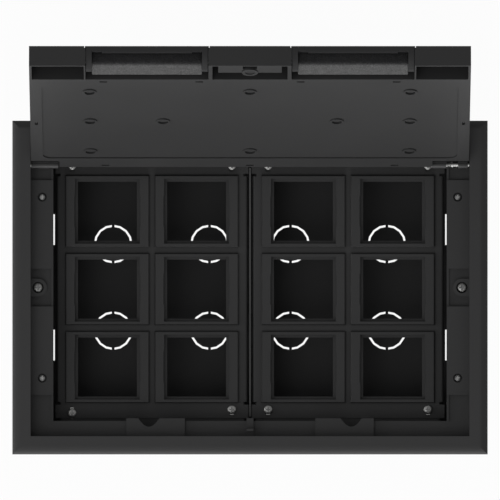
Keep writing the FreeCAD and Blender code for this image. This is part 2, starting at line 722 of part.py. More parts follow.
def module_frame(x, y):
    """Bezel on the plate, with a sleeve through it, a seat for the module and two barbs."""
    top = PLATE_TOP + BEZEL_H
    seat = top - SEAT_DEPTH
    bezel = centred(x, y, MODULE_X, MODULE_Y, (PLATE_TOP, top))
    rims = [e for e in bezel.Edges if e.BoundBox.ZMin > top - PAST]
    bezel = bezel.makeChamfer(BEZEL_CHAMFER, rims)
    sleeve = centred(x, y, SLEEVE_X, SLEEVE_Y, (seat - SEAT_T, PLATE_TOP))
    through = centred(x, y, APERTURE - 2 * SEAT_W, APERTURE - 2 * SEAT_W, (0, TOP))
    room = centred(x, y, APERTURE, APERTURE, (seat, TOP))
    grip = centred(x, y, APERTURE + 2 * CLIP_DEPTH, CLIP_L, (top - CLIP_H, TOP))
    solid = fused([bezel, sleeve, barb(x, y, 1), barb(x, y, -1)])
    return solid.cut([through, room, grip])


def plate_screws():
    screws = []
    for side in (-1, 1):
        for end in (-1, 1):
            for index, x in enumerate(SCREW_XS):
                screws.append(screw(side * x, screw_y(side, end, index), PLATE_TOP, PLATE_SCREW_R,
                                    PLATE_HEAD_R, PLATE_HEAD_H, PLATE_SCREW_L))
    return Part.makeCompound(screws)


def frame_screws():
    return Part.makeCompound([screw(x, y, FRAME_SEAT_Z, FRAME_SCREW_R, FRAME_HEAD_R, FRAME_HEAD_H,
                                    FRAME_SCREW_L)
                              for x, y in screw_places(FRAME_SCREW_X, FRAME_SCREW_Y)])


def clamp_screw(side):
    """Its shank is round, because it turns in the frame."""
    return screw(side * CLAMP_X, 0, CLAMP_SEAT_Z + HEAD_LIFT, CLAMP_SCREW_R, CLAMP_HEAD_R,
                 CLAMP_HEAD_H, CLAMP_SCREW_L, upright)


def clamp_jaw(side):
    """Threaded hub with an arm, stowed along the side wall, and a tooth at the arm's end."""
    x = side * CLAMP_X
    top = JAW_Z
    hub = flat_sided(JAW_HUB_R, x, 0, (top - JAW_H, top - JAW_TOOTH), DISC_SIDES)
    arm = box((x - JAW_ARM_W / 2, x + JAW_ARM_W / 2), (0, JAW_ARM_L),
              (top - JAW_TOOTH - JAW_ARM_T, top - JAW_TOOTH))
    tooth = box((x - JAW_ARM_W / 2, x + JAW_ARM_W / 2), (JAW_ARM_L - JAW_TOOTH * 2, JAW_ARM_L),
                (top - JAW_TOOTH, top))
    web = prism([V(x - RIB_T / 2, JAW_HUB_R / 2, top - JAW_H),
                 V(x - RIB_T / 2, JAW_ARM_L - JAW_TOOTH, top - JAW_TOOTH - JAW_ARM_T),
                 V(x - RIB_T / 2, JAW_HUB_R / 2, top - JAW_TOOTH - JAW_ARM_T)], V(RIB_T, 0, 0))
    hole = upright(CLAMP_SCREW_R + FIT, x, 0, (top - JAW_H - PAST, top + PAST))
    return fused([hub, arm, tooth, web]).cut(hole)


# Lid

def boss_places():
    back, middle, front = BOSS_ROWS
    places = [(side * BOSS_OUT_X, d) for side in (-1, 1) for d in BOSS_ROWS]
    places += [(side * BOSS_IN_X, middle) for side in (-1, 1)]
    return places + [(0, back), (0, front)]


def tab_places():
    """Middles and sizes of the slots for the lid plate's tabs, in x and d."""
    places = [(side * x, FRONT_SLOT_D, SLOT_W, SLOT_D) for side in (-1, 1) for x in FRONT_SLOT_X]
    places += [(x, REAR_SLOT_D, SLOT_W, SLOT_D) for x in (-REAR_SLOT_X, 0, REAR_SLOT_X)]
    inset = LID_X - SIDE_SLOT_INSET
    return places + [(side * inset, SIDE_SLOT_D, SLOT_D, SLOT_W) for side in (-1, 1)]


def rib_cells():
    """Pockets between the lid's stiffening ribs, closed by the lid plate."""
    x0 = -(LID_X - COVER_RIM - 2 * RIB_T)
    step_x = -2 * x0 / CELL_COLUMNS
    step_d = (STRIP_D - COVER_FRONT_RIM - 2 * RIB_T - PANEL_BACK) / CELL_ROWS
    cells = []
    for i in range(CELL_COLUMNS):
        for j in range(CELL_ROWS):
            x = (x0 + i * step_x + RIB_T / 2, x0 + (i + 1) * step_x - RIB_T / 2)
            d = (PANEL_BACK + j * step_d + RIB_T / 2, PANEL_BACK + (j + 1) * step_d - RIB_T / 2)
            cells.append(lid_box(x, d, (LID_LOW + PANEL_DEPTH + CELL_FLOOR, COVER_LOW)))
    return cells


def lid_profile():
    outline = [(LID_D, LID_LOW), (LID_D, LID_TOP), (LID_REAR, LID_TOP),
               (LID_REAR, LID_TOP - REAR_LIP_T), (LID_BACK, LID_TOP - REAR_LIP_T),
               (LID_BACK, LID_LOW)]
    return prism([at_lid(-LID_X, d, h) for d, h in outline], V(2 * LID_X, 0, 0))


def hinge_barrel(x0, x1, notch):
    """Barrel on the hinge axis, held by a web from the lid's rear wall over its pocket."""
    web = lid_box((x0, x1), (0, LID_BACK + PAST), (BARREL_R - WEB_T, KNUCKLE_POCKET_H + WEB_T))
    solid = lid_cross(BARREL_R, (x0, x1), 0, 0).fuse(web)
    if notch:
        solid = solid.cut(lid_box(notch, (-BARREL_R, 0), (-BARREL_R, BARREL_NOTCH_H - BARREL_R)))
    return solid


def knuckle_pockets():
    """Sloping pockets in the lid's underside, beside which the barrels stand free."""
    outline = [(LID_BACK - PAST, LID_LOW - PAST), (KNUCKLE_POCKET_D, LID_LOW - PAST),
               (KNUCKLE_POCKET_D, LID_LOW), (LID_BACK - PAST, KNUCKLE_POCKET_H)]
    return [prism([at_lid(x0, d, h) for d, h in outline], V(x1 - x0, 0, 0))
            for x0, x1 in ((-LID_X - PAST, LEFT_BARREL_L - LID_X + KNUCKLE_GAP),
                           (SEG_A_START, LID_X + PAST))]


def underside_panel():
    x = LID_X - PANEL_MARGIN_X
    return rounded_slab((-x, x), (AXIS_Y - PANEL_FRONT, AXIS_Y - PANEL_BACK),
                        (AXIS_Z + LID_LOW - PAST, AXIS_Z + LID_LOW + PANEL_DEPTH), PANEL_R)


def stub_slot(x):
    """Square slot in which a flap's round stub turns."""
    half = STUB_R + FIT
    return lid_box(x, (FLAP_D - half, FLAP_D + half), (FLAP_H - half, FLAP_H + half))


def strip_pockets():
    """Pockets of the front strip, open below, and the two cable openings right through it."""
    pocket_d = (STRIP_D, LID_D - FRONT_WALL_T)
    pocket_h = (LID_LOW - PAST, POCKET_TOP)
    x = (OPENING_OUT + END_BLOCK_WALL_IN, LID_X - END_BLOCK_WALL_OUT)
    middle = OPENING_IN - MID_BLOCK_WALL
    cuts = [lid_box((-middle, middle), pocket_d, pocket_h)]
    for side in (-1, 1):
        cuts.append(lid_box((side * x[0], side * x[1]), pocket_d, pocket_h))
        cuts.append(lid_box((side * OPENING_IN, side * OPENING_OUT), (STRIP_D, LID_D + PAST),
                            (LID_LOW - PAST, LID_TOP + PAST)))
        for edge, outward in ((FLAP_OUT, 1), (FLAP_IN, -1)):
            cuts.append(stub_slot((side * edge, side * (edge + outward * (STUB_L + 2 * FIT)))))
            lap = (side * edge, side * (edge + outward * (LAP_W + FLAP_GAP)))
            cuts.append(lid_box(lap, (FLAP_D, LID_D + PAST), (LID_TOP - LAP_T - LAP_GAP, TOP)))
    return cuts


def lock_seat():
    head = lid_upright(LOCK_HEAD_R + FIT, 0, LOCK_D, (LID_TOP - LOCK_HEAD_T, LID_TOP + PAST))
    return head.fuse(lid_upright(LOCK_STEM_R + FIT, 0, LOCK_D, (POCKET_TOP - PAST, LID_TOP)))


def carrier_post(side):
    x = side * (CARRIER_W / 2 - CARRIER_T)
    low = LID_LOW + CARRIER_T
    return lid_box((x - CARRIER_T, x + CARRIER_T),
                   (LID_D - CARRIER_BACK, LID_D - FRONT_WALL_T), (low, POCKET_TOP))


def lid_frame():
    cuts = [underside_panel()] + rib_cells() + strip_pockets() + knuckle_pockets()
    rim = LID_X - COVER_RIM
    cuts.append(lid_box((-rim, rim), (COVER_BACK, STRIP_D - COVER_FRONT_RIM),
                        (COVER_LOW, LID_TOP + PAST)))
    for x, d, wide, deep in tab_places():
        cuts.append(lid_box((x - wide / 2, x + wide / 2), (d - deep / 2, d + deep / 2),
                            (LID_LOW - PAST, COVER_LOW)))
    cuts.append(lock_seat())
    left = hinge_barrel(-LID_X, LEFT_BARREL_L - LID_X, (-LID_X, BARREL_NOTCH_L - LID_X))
    segments = [left, hinge_barrel(SEG_A_START, SEG_A_END, None),
                hinge_barrel(SEG_B_START, SEG_B_END, (SEG_B_END - BARREL_NOTCH_L, SEG_B_END))]
    boss_z = (AXIS_Z + LID_LOW, AXIS_Z + LID_LOW + PANEL_DEPTH)
    bosses = [flat_sided(BOSS_R, x, AXIS_Y - d, boss_z, DISC_SIDES)
              .cut(flat_sided(BOSS_HOLE_R, x, AXIS_Y - d, boss_z, DISC_SIDES))
              for x, d in boss_places()]
    posts = both_sides(carrier_post)
    solid = fused([lid_profile().cut(cuts)] + segments + bosses + posts)
    bores = [lid_cross(PIN_R, (-LID_X - PAST, LEFT_BARREL_L - LID_X - PIN_R), 0, 0),
             lid_cross(PIN_R + FIT, (SEG_A_START - PAST, SEG_B_END + PAST), 0, 0),
             lid_cross(SPRING_R + math.sqrt(2) * SPRING_WIRE_R + FIT,
                       (SEG_A_END - PIN_TRAVEL - SPRING_WIRE_R, SEG_A_END), 0, 0)]
    return solid.cut(bores)


def lid_plate():
    """Steel plate under the floor covering, with tabs bent down through the lid's slots."""
    rim = LID_X - COVER_RIM - PLATE_GAP
    plate = lid_box((-rim, rim), (COVER_BACK + PLATE_GAP, STRIP_D - COVER_FRONT_RIM - PLATE_GAP),
                    (COVER_LOW, COVER_LOW + LID_PLATE_T))
    tabs = []
    for x, d, wide, deep in tab_places():
        half_x = (TAB_W if wide > deep else TAB_T) / 2
        half_d = (TAB_T if wide > deep else TAB_W) / 2
        tabs.append(lid_box((x - half_x, x + half_x), (d - half_d, d + half_d),
                            (LID_LOW + TAB_T, COVER_LOW)))
    return fused([plate] + tabs)


def hinge_pin():
    start = -(HALF_X + PIN_REACH)
    return lid_cross(PIN_R, (start, LEFT_BARREL_L - LID_X - PIN_R), 0, 0)


def release_pin():
    """Sliding hinge pin: a head behind the inner barrel stops it, a collar takes the spring."""
    tip = HALF_X + PIN_REACH
    shaft = lid_cross(PIN_R, (SEG_A_START - FIT - PIN_HEAD_T, tip), 0, 0)
    head = lid_cross(PIN_HEAD_R, (SEG_A_START - FIT - PIN_HEAD_T, SEG_A_START - FIT), 0, 0)
    seat = SEG_A_END + SPRING_L + 2 * FIT
    return fused([shaft, head, lid_cross(PIN_HEAD_R, (seat, seat + COLLAR_T), 0, 0)])


def release_spring():
    """The spring rests on the collar, and its other end goes into the inner barrel's counterbore."""
    start = SEG_A_END + FIT + SPRING_WIRE_R
    count = SPRING_TURNS * SPRING_STEPS
    step = (SPRING_L - 2 * SPRING_WIRE_R) / count
    turn = 2 * math.pi / SPRING_STEPS
    path = [at_lid(start + k * step, SPRING_R * math.cos(k * turn), SPRING_R * math.sin(k * turn))
            for k in range(count + 1)]
    half = SPRING_WIRE_R
    corners = [path[0] + V(dx, dy, 0) for dx, dy in ((-half, -half), (half, -half), (half, half),
                                                     (-half, half))]
    wire = Part.makePolygon(path)
    return wire.makePipeShell([Part.makePolygon(corners + [corners[0]])], True, False, 1)


# Cable flaps

def flap_sector(x, outer, inner, h):
    """Part of the flap's front, curved about its pivot, between two radii and two heights."""
    wall = lid_cross(outer, x, FLAP_D, FLAP_H).cut(lid_cross(inner, x, FLAP_D, FLAP_H))
    return wall.common(lid_box(x, (FLAP_D + FLAP_R / 2, LID_D + PAST), h))


def cable_flap():
    """The right flap: top, hinge edge with end stubs, front lip and a cheek at each end."""
    x = (FLAP_IN, FLAP_OUT)
    sheet = lid_box(x, (FLAP_D, LID_D + PAST), (LID_TOP - FLAP_T, LID_TOP))
    lap = (FLAP_IN - LAP_W, FLAP_OUT + LAP_W)
    edges = lid_box(lap, (FLAP_D + FLAP_BARREL_R, LID_D + PAST), (LID_TOP - LAP_T, LID_TOP))
    sheet = sheet.fuse(edges).common(lid_cross(FLAP_R, lap, FLAP_D, FLAP_H))
    inner = FLAP_R - FLAP_LIP_T
    middle = (FLAP_IN + CHEEK_W + FLAP_LIP_MID_INSET, FLAP_OUT - CHEEK_W - FLAP_LIP_MID_INSET)
    pieces = [sheet, lid_cross(FLAP_BARREL_R, x, FLAP_D, FLAP_H),
              lid_cross(STUB_R, (x[0] - STUB_L, x[1] + STUB_L), FLAP_D, FLAP_H),
              flap_sector(x, FLAP_R, inner, (LID_TOP - FLAP_LIP_H, LID_TOP)),
              flap_sector(middle, FLAP_R, inner, (LID_TOP - FLAP_LIP_MID_H, LID_TOP))]
    for cheek in ((x[0], x[0] + CHEEK_W), (x[1] - CHEEK_W, x[1])):
        pieces.append(flap_sector(cheek, FLAP_R, inner, (LID_TOP - CHEEK_H, LID_TOP)))
    return fused(pieces)


def flap_foam():
    x = (FLAP_IN + CHEEK_W, FLAP_OUT - CHEEK_W)
    top = LID_TOP - FLAP_T
    block = lid_box(x, (STRIP_D + FOAM_BACK, LID_D - FOAM_FRONT), (top - FOAM_H, top))
    lip = flap_sector(x, FLAP_R + PAST, FLAP_R - FLAP_LIP_T - FIT,
                      (LID_TOP - FLAP_LIP_MID_H - FIT, LID_TOP))
    return block.cut([lid_cross(FLAP_BARREL_R + FIT, x, FLAP_D, FLAP_H), lip])


# Lock

def lock_carrier():
    """Bar that closes the middle pocket's front, with the ring that holds the lock's foot."""
    half = CARRIER_W / 2
    bar = lid_box((-half, half), (LID_D - CARRIER_BACK, LID_D - FRONT_WALL_T),
                  (LID_LOW, LID_LOW + CARRIER_T))
    ring = lid_upright(RING_R, 0, LOCK_D, (LID_LOW - RING_RISE, LID_LOW + CARRIER_T + RING_UP))
    notch_back = LOCK_D + RING_R - RING_UP
    notch = lid_box((-CARRIER_NOTCH_W / 2, CARRIER_NOTCH_W / 2),
                    (notch_back, notch_back + CARRIER_NOTCH_D + RING_UP),
                    (LID_LOW - PAST, LID_LOW + CARRIER_T + PAST))
    bore = lid_upright(LOCK_FOOT_R + FIT, 0, LOCK_D, (LID_LOW - 2 * PAST, POCKET_TOP))
    return fused([bar.cut(notch), ring]).cut(bore)


def square_drive(gap):
    half = DRIVE_W / 2 + gap
    return lid_box((-half, half), (LOCK_D - half, LOCK_D + half), (CAM_LOW, CAM_LOW + CAM_T))


def lock_barrel():
    """Barrel with a coin slot in its head, turned from above; its foot runs in the carrier."""
    low = LID_LOW - RING_RISE + LOCK_FOOT_RECESS
    pieces = [lid_upright(LOCK_HEAD_R, 0, LOCK_D, (LID_TOP - LOCK_HEAD_T + FIT, LID_TOP)),
              lid_upright(LOCK_STEM_R, 0, LOCK_D, (CAM_LOW + CAM_T, LID_TOP - LOCK_HEAD_T + FIT)),
              lid_upright(LOCK_FOOT_R, 0, LOCK_D, (low, CAM_LOW))]
    pieces.append(square_drive(0))
    coin = lid_box((COIN_SLOT_W - LOCK_HEAD_R, LOCK_HEAD_R - COIN_SLOT_W),
                   (LOCK_D - COIN_SLOT_W / 2, LOCK_D + COIN_SLOT_W / 2),
                   (LID_TOP - COIN_SLOT_DEPTH, LID_TOP + PAST))
    return fused(pieces).cut(coin)


def lock_cam():
    """Steel tongue on the barrel's square, pointing sideways when unlocked."""
    h = (CAM_LOW, CAM_LOW + CAM_T)
    disc = lid_upright(LOCK_STEM_R, 0, LOCK_D, h)
    tongue = lid_box((0, CAM_REACH), (LOCK_D - CAM_W / 2, LOCK_D + CAM_W / 2), h)
    return fused([disc, tongue]).cut(square_drive(FIT))


def named_nodes():
    nodes = {"floor_frame": floor_frame(), "base_tray": base_tray(),
             "compartment_divider": compartment_divider(),
             "plate_screws": plate_screws(), "frame_screws": frame_screws()}
    plate = accessory_plate()
    nodes["accessory_plate_right"] = plate
    nodes["accessory_plate_left"] = mirror_x(plate)
    flap = cable_flap()
    foam = flap_foam()
    lid = {"lid_frame": lid_frame(), "lid_plate": lid_plate(), "lock_carrier": lock_carrier(),
           "lock_barrel": lock_barrel(), "lock_cam": lock_cam(), "hinge_pin": hinge_pin(),
           "release_pin": release_pin(), "release_spring": release_spring(),
           "cable_flap_right": flap, "cable_flap_left": mirror_x(flap),
           "flap_foam_right": foam, "flap_foam_left": mirror_x(foam)}
    for side, word in ((-1, "left"), (1, "right")):
        nodes["clamp_screw_" + word] = clamp_screw(side)
        nodes["clamp_jaw_" + word] = clamp_jaw(side)
        nodes["bracket_front_" + word] = plate_bracket(side, -1)
        nodes["bracket_rear_" + word] = plate_bracket(side, 1)
        for index, (x, y) in enumerate(module_places(side)):
            nodes["module_frame_%s_%d" % (word, index + 1)] = module_frame(x, y)
    nodes.update({name: opened(shape) for name, shape in lid.items()})
    return nodes


def main():
    os.makedirs("parts", exist_ok=True)
    for name, shape in named_nodes().items():
        if not shape.isValid() or not shape.Solids:
            raise ValueError(name + " is not a valid solid")
        shape.exportStep(os.path.join("parts", name + ".step"))
        print(name, len(shape.Solids), round(shape.Volume, 2))


main()
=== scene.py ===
import json
import math

import bmesh
import bpy
from mathutils import Matrix, Vector


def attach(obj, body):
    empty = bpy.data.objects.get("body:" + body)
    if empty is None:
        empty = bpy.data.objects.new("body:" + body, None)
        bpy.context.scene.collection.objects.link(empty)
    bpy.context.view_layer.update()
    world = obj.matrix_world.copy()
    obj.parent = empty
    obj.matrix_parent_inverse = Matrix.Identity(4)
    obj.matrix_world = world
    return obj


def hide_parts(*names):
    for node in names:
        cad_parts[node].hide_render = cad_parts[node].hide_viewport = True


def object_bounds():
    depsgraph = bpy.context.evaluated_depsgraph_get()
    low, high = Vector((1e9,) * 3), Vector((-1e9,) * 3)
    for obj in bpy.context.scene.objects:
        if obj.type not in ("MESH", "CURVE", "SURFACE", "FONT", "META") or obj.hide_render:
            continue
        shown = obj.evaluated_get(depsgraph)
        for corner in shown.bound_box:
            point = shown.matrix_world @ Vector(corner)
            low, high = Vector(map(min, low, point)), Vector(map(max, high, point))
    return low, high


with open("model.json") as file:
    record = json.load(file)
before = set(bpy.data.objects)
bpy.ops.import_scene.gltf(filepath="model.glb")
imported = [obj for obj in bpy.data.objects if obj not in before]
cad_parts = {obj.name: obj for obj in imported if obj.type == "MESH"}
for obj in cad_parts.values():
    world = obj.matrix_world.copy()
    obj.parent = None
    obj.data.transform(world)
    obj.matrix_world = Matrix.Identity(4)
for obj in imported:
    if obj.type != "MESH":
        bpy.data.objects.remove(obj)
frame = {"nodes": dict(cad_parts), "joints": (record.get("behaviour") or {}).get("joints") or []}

bl_info = {
    "name": "Floor socket box",
    "version": (1, 0, 0),
    "blender": (4, 5, 0),
    "location": "3D View > Sidebar > Floor box",
    "description": "Dresses the floor socket box: finishes, screws, foam pads, spring and studio",
    "category": "Object",
}

# The CAD part at rest, in metres: X to the right, Y to the hinge side, Z up

NODES = frame["nodes"]
CAD_LOW, CAD_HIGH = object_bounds()
HINGE = next(j for j in frame["joints"] if j["name"] == "lid_hinge")
HINGE_AT = Vector(HINGE["pos_m"])
OPEN_ANGLE = math.radians(HINGE["range_deg"][1])
# Lid coordinates: X across, Y in front of the hinge axis, Z over it, with the lid closed
LID_TO_REST = (Matrix.Translation(HINGE_AT) @ Matrix.Rotation(-OPEN_ANGLE, 4, "X")
               @ Matrix.Diagonal((1, -1, 1, 1)))

# The lid's underside and the bosses on it, in lid coordinates
LID_UNDER = -0.0027
BOSS_PLACES = [(x, y) for x in (-0.1102, 0.1102) for y in (0.0299, 0.0847, 0.138)]
BOSS_PLACES += [(-0.0599, 0.0847), (0.0599, 0.0847), (0, 0.0299), (0, 0.138)]

# Places and small sizes on the part
TRAY_LOW = 0.002         # the tray's walls, without its flanges, reach below this height
TROUGH_FRONT = -0.0163   # inner face of the troughs' front walls, from the hinge axis
TROUGH_TOP = 0.079       # top of the troughs' front walls, in the frame's corner ledges
FLANGE_T = 0.0001        # how far a pressed nut stands over its bracket
TINY = 0.000001          # points nearer than this are one, in shapes made here
CAD_TINY = 1e-7          # and in the CAD's meshes

# Shape of a screw, to its shank's radius or to its head's size
TIP_RADIUS = 0.6         # end of the shank
TIP_HEIGHT = 0.4         # chamfer of the shank's end
SEAT_RADIUS = 0.96       # underside of the head
SEAT_HEIGHT = 0.06       # chamfer of the head's underside

# Fineness of round shapes
ROUND_SIDES = 32         # sides of a screw and of a round hole
DOME_STEPS = 6           # rings of a screw head's dome
BAND_STEPS = 6           # lengths in half of a nut's flange
TROUGH_STEPS = 12        # lengths in the trough's arc
COIL_STEPS = 24          # lengths in one turn of the spring
WIRE_SIDES = 8           # sides of the spring's wire
FOLD_STEPS = 6           # lengths in the foam's lower front edge
EDGE_STEPS = 3           # lengths in the foam's other edges
SHARP_ANGLE = math.radians(35)   # faces that meet at more than this keep a sharp edge
FLAT_ANGLE = math.radians(2)     # the foam's faces that meet at less than this are one
CORNER_ANGLE = math.radians(40)  # the foam's edges that turn more than this are rounded
LOOK_DOT = 0.9           # a face looks one way if its normal agrees this much
LEVEL_DIGITS = 5         # decimals that tell a screw's heights apart

# Texture scales, in features to a metre
TINT_SCALE = 22.0        # slow tint of plastic and powder coat
RUB_SCALE = 160.0        # patches on rubbed edges
STREAK_SCALE = 900.0     # drawn lines of sheet metal
CELL_SCALE = 1100.0      # cells of the foam
CUT_SCALE = 260.0        # uneven cut of the foam
MOTTLE_SCALE = 3.0       # studio floor

# Looks
ZINC_ROUGH = (0.28, 0.5)         # roughness of a zinc coat, from line to line
SHOULDER_POWER = 1.4             # how late the trim's rounded edge turns down
UPWARD = 0.5                     # its faces look up more than this
RUB_GAIN, RUB_LIFT = 2.2, 0.02   # rubbed colour: the colour times the gain, and the lift
BUMP_STRENGTH = 0.6              # of the moulded grain
FOAM_DEPTH = 0.0004              # of the foam's cells
CELL_HEIGHTS = (0.4, 1.4)        # heights of the foam's cells, before their shade
CELL_SHADES = (0.55, 1.5)        # painted shade of the foam's cells, from dark in the pits to light on the walls
FRONT_SHADE_DOTS = (0.15, 0.95)         # the painted shade on the foam's front faces starts and is full at these agreements
FLOOR_SHADES = (0.88, 0.92)      # studio floor
FLOOR_WHITE = 0.96               # share of even white that views show of the floor

# Studio
FLOOR_SIZE = 6           # half of the floor's side
FLOOR_DROP = 0.0005      # the floor lies this much under the part
AIM_Z = 0.1              # height that the lights aim at
SENSOR = 36              # the camera's sensor width, in millimetres
CLIP_START = 0.1         # nearest distance that the camera sees
# Name, place, width and power setting of each light
LIGHTS = (("Overhead light", (-1.0, -1.0, 3.6), 2.4, "key"),
          ("Front low light", (0, -3.2, 1.0), 1.8, "front_light"),
          ("Left low light", (-3.2, 0, 1.0), 1.8, "side_light"))


# Properties

class FinishSettings(bpy.types.PropertyGroup):
    trim: bpy.props.FloatVectorProperty(
        name="Trim frame", description="Colour of the moulded floor frame", subtype="COLOR",
        default=(0.028, 0.028, 0.0285), min=0, max=1)
    lid: bpy.props.FloatVectorProperty(
        name="Lid", description="Colour of the moulded lid", subtype="COLOR",
        default=(0.038, 0.038, 0.0385), min=0, max=1)
    flap: bpy.props.FloatVectorProperty(
        name="Cable flaps", description="Colour of the moulded cable flaps", subtype="COLOR",
        default=(0.028, 0.028, 0.029), min=0, max=1)
    module: bpy.props.FloatVectorProperty(
        name="Module frames", description="Colour of the module frames", subtype="COLOR",
        default=(0.0307, 0.0307, 0.0312), min=0, max=1)
    tray: bpy.props.FloatVectorProperty(
        name="Tray", description="Colour of the powder coat on the tray", subtype="COLOR",
        default=(0.025, 0.025, 0.0255), min=0, max=1)
    plate: bpy.props.FloatVectorProperty(
        name="Plates", description="Colour of the powder coat on plates and brackets",
        subtype="COLOR", default=(0.035, 0.035, 0.0355), min=0, max=1)
    divider: bpy.props.FloatVectorProperty(
        name="Divider", description="Colour of the compartment divider's dull zinc",
        subtype="COLOR", default=(0.085, 0.085, 0.085), min=0, max=1)
    galvanised: bpy.props.FloatVectorProperty(
        name="Galvanised steel", description="Colour of the bare zinc-coated sheet",
        subtype="COLOR", default=(0.42, 0.43, 0.44), min=0, max=1)
    zinc: bpy.props.FloatVectorProperty(
        name="Bright zinc", description="Colour of pins, plate screws and clean recesses",
        subtype="COLOR", default=(0.45, 0.45, 0.44), min=0, max=1)
    # Dark zinc of the frame screws' heads, and painted shade in the plate screws' cross recesses
    dark_zinc_and_recess_shade: bpy.props.FloatVectorProperty(
        name="Dark zinc", description="Colour of dull screw heads and dirty recesses",
        subtype="COLOR", default=(0.2, 0.2, 0.2), min=0, max=1)
    foam: bpy.props.FloatVectorProperty(
        name="Foam", description="Colour of the foam pads", subtype="COLOR",
        default=(0.09, 0.09, 0.09), min=0, max=1)
    # Painted shade: darker colour of the foam pads' faces that look to the front, as in the shadow
    # of the flap's lip
    foam_front_shade: bpy.props.FloatVectorProperty(
        name="Foam skin", description="Colour of the foam pads' closed front face",
        subtype="COLOR", default=(0.018, 0.018, 0.019), min=0, max=1)


class DetailSettings(bpy.types.PropertyGroup):
    rim_height: bpy.props.FloatProperty(
        name="Rim height", description="Upright rim of a screw's head, to the head's height",
        default=0.72, min=0.1, max=0.9)
    recess_reach: bpy.props.FloatProperty(
        name="Recess reach", description="Half a screw's cross recess, to the head's radius",
        default=0.6, min=0.3, max=0.8)
    recess_width: bpy.props.FloatProperty(
        name="Recess width", description="Arm of a screw's cross recess, to the head's radius",
        default=0.32, min=0.1, max=0.6)
    recess_depth: bpy.props.FloatProperty(
        name="Recess depth", description="Depth of a screw's cross recess, to the head's height",
        default=0.4, min=0.1, max=0.9)
    foam_fold: bpy.props.FloatProperty(
        name="Foam fold", description="Radius of the foam pads' lower front edge", unit="LENGTH",
        default=0.003, min=0, max=0.006)
    foam_round: bpy.props.FloatProperty(
        name="Foam rounding", description="Radius of the foam pads' edges", unit="LENGTH",
        default=0.0008, min=0, max=0.002)
    coil_turns: bpy.props.IntProperty(
        name="Spring turns", description="Turns of the hinge pin's spring", default=4, min=2, max=8)
    shoulder_width: bpy.props.FloatProperty(
        name="Trim shoulder", description="Width of the trim's rounded outer edge", unit="LENGTH",
        default=0.0062, min=0.001, max=0.01)
    shoulder_lean: bpy.props.FloatProperty(
        name="Shoulder lean", description="Slope of the trim's outer edge where it ends",
        default=0.72, min=0, max=3)
    trough_radius: bpy.props.FloatProperty(
        name="Trough radius", description="Hinge axis to the trough's floor", unit="LENGTH",
        default=0.0215, min=0.02, max=0.03, precision=5)
    trough_thickness: bpy.props.FloatProperty(
        name="Trough thickness", description="Wall of the trough's floor", unit="LENGTH",
        default=0.002, min=0.001, max=0.004)
    trough_width: bpy.props.FloatProperty(
        name="Trough width", description="Tray's wall to a little inside the frame's side wall",
        unit="LENGTH", default=0.0136, min=0.005, max=0.014, precision=5)
    trough_cap: bpy.props.FloatProperty(
        name="Trough cap", description="Thickness of the trough's wall under the frame's side",
        unit="LENGTH", default=0.00115, min=0.0005, max=0.0015, precision=5)
    nut_radius: bpy.props.FloatProperty(
        name="Nut flange", description="Radius of the flanges of the plate screws' pressed nuts",
        unit="LENGTH", default=0.0038, min=0.003, max=0.006, precision=5)
    nut_bore: bpy.props.FloatProperty(
        name="Nut flange bore", description="Radius inside the flanges of the pressed nuts",
        unit="LENGTH", default=0.0032, min=0.002, max=0.005, precision=5)
    nut_width: bpy.props.FloatProperty(
        name="Nut flange width", description="Half of what the plate's slot shows of a flange",
        unit="LENGTH", default=0.00135, min=0.0005, max=0.002, precision=5)
    boss_bore: bpy.props.FloatProperty(
        name="Boss bore", description="Radius of the holes in the lid's bosses", unit="LENGTH",
        default=0.00355, min=0.002, max=0.0045, precision=5)
    boss_depth: bpy.props.FloatProperty(
        name="Boss depth", description="Depth of the holes in the lid's bosses", unit="LENGTH",
        default=0.0014, min=0.0005, max=0.004, precision=5)
    wire_radius: bpy.props.FloatProperty(
        name="Spring wire", description="Radius of the spring's wire", unit="LENGTH",
        default=0.00026, min=0.0001, max=0.0004, precision=5)


class StageSettings(bpy.types.PropertyGroup):
    lens: bpy.props.FloatProperty(
        name="Lens", description="Focal length in millimetres, long for a flat view", default=1700)
    view_width: bpy.props.FloatProperty(
        name="View width", description="Width of the view at its sharp height", unit="LENGTH",
        default=0.345)
    view_z: bpy.props.FloatProperty(
        name="View height", description="Height over the floor at which the width holds",
        unit="LENGTH", default=0.15)
    view_y: bpy.props.FloatProperty(
        name="View centre", description="Middle of the view, behind the tray's middle",
        unit="LENGTH", default=0.026)
    ambient: bpy.props.FloatProperty(
        name="Ambient", description="Strength of the even light from all round", default=0.27)
    key: bpy.props.FloatProperty(
        name="Key light", description="Power of the overhead soft light in watts", default=18)
    front_light: bpy.props.FloatProperty(
        name="Front light", description="Power of the low front light in watts", default=56)
    side_light: bpy.props.FloatProperty(
        name="Side light", description="Power of the low left light in watts", default=28)


# Mesh helpers

def join(bm, other):
    """Adds another bmesh to bm and frees it."""
    mesh = bpy.data.meshes.new("part")
    other.to_mesh(mesh)
    other.free()
    bm.from_mesh(mesh)
    bpy.data.meshes.remove(mesh)


def circle(radius, sides):
    """Corners of a regular polygon round the origin."""
    return [(radius * math.cos(a), radius * math.sin(a))
            for a in (2 * math.pi * k / sides for k in range(sides))]


def spun(profile, steps):
    """A closed shape from (radius, height) pairs, turned about Z."""
    bm = bmesh.new()
    verts = [bm.verts.new((radius, 0, height)) for radius, height in profile]
    edges = [bm.edges.new(pair) for pair in zip(verts, verts[1:])]
    bmesh.ops.spin(bm, geom=verts + edges, cent=(0, 0, 0), axis=(0, 0, 1), dvec=(0, 0, 0),
                   angle=2 * math.pi, steps=steps, use_merge=True, use_duplicate=False)
    bmesh.ops.remove_doubles(bm, verts=bm.verts, dist=TINY)
    bmesh.ops.recalc_face_normals(bm, faces=bm.faces)
    return bm


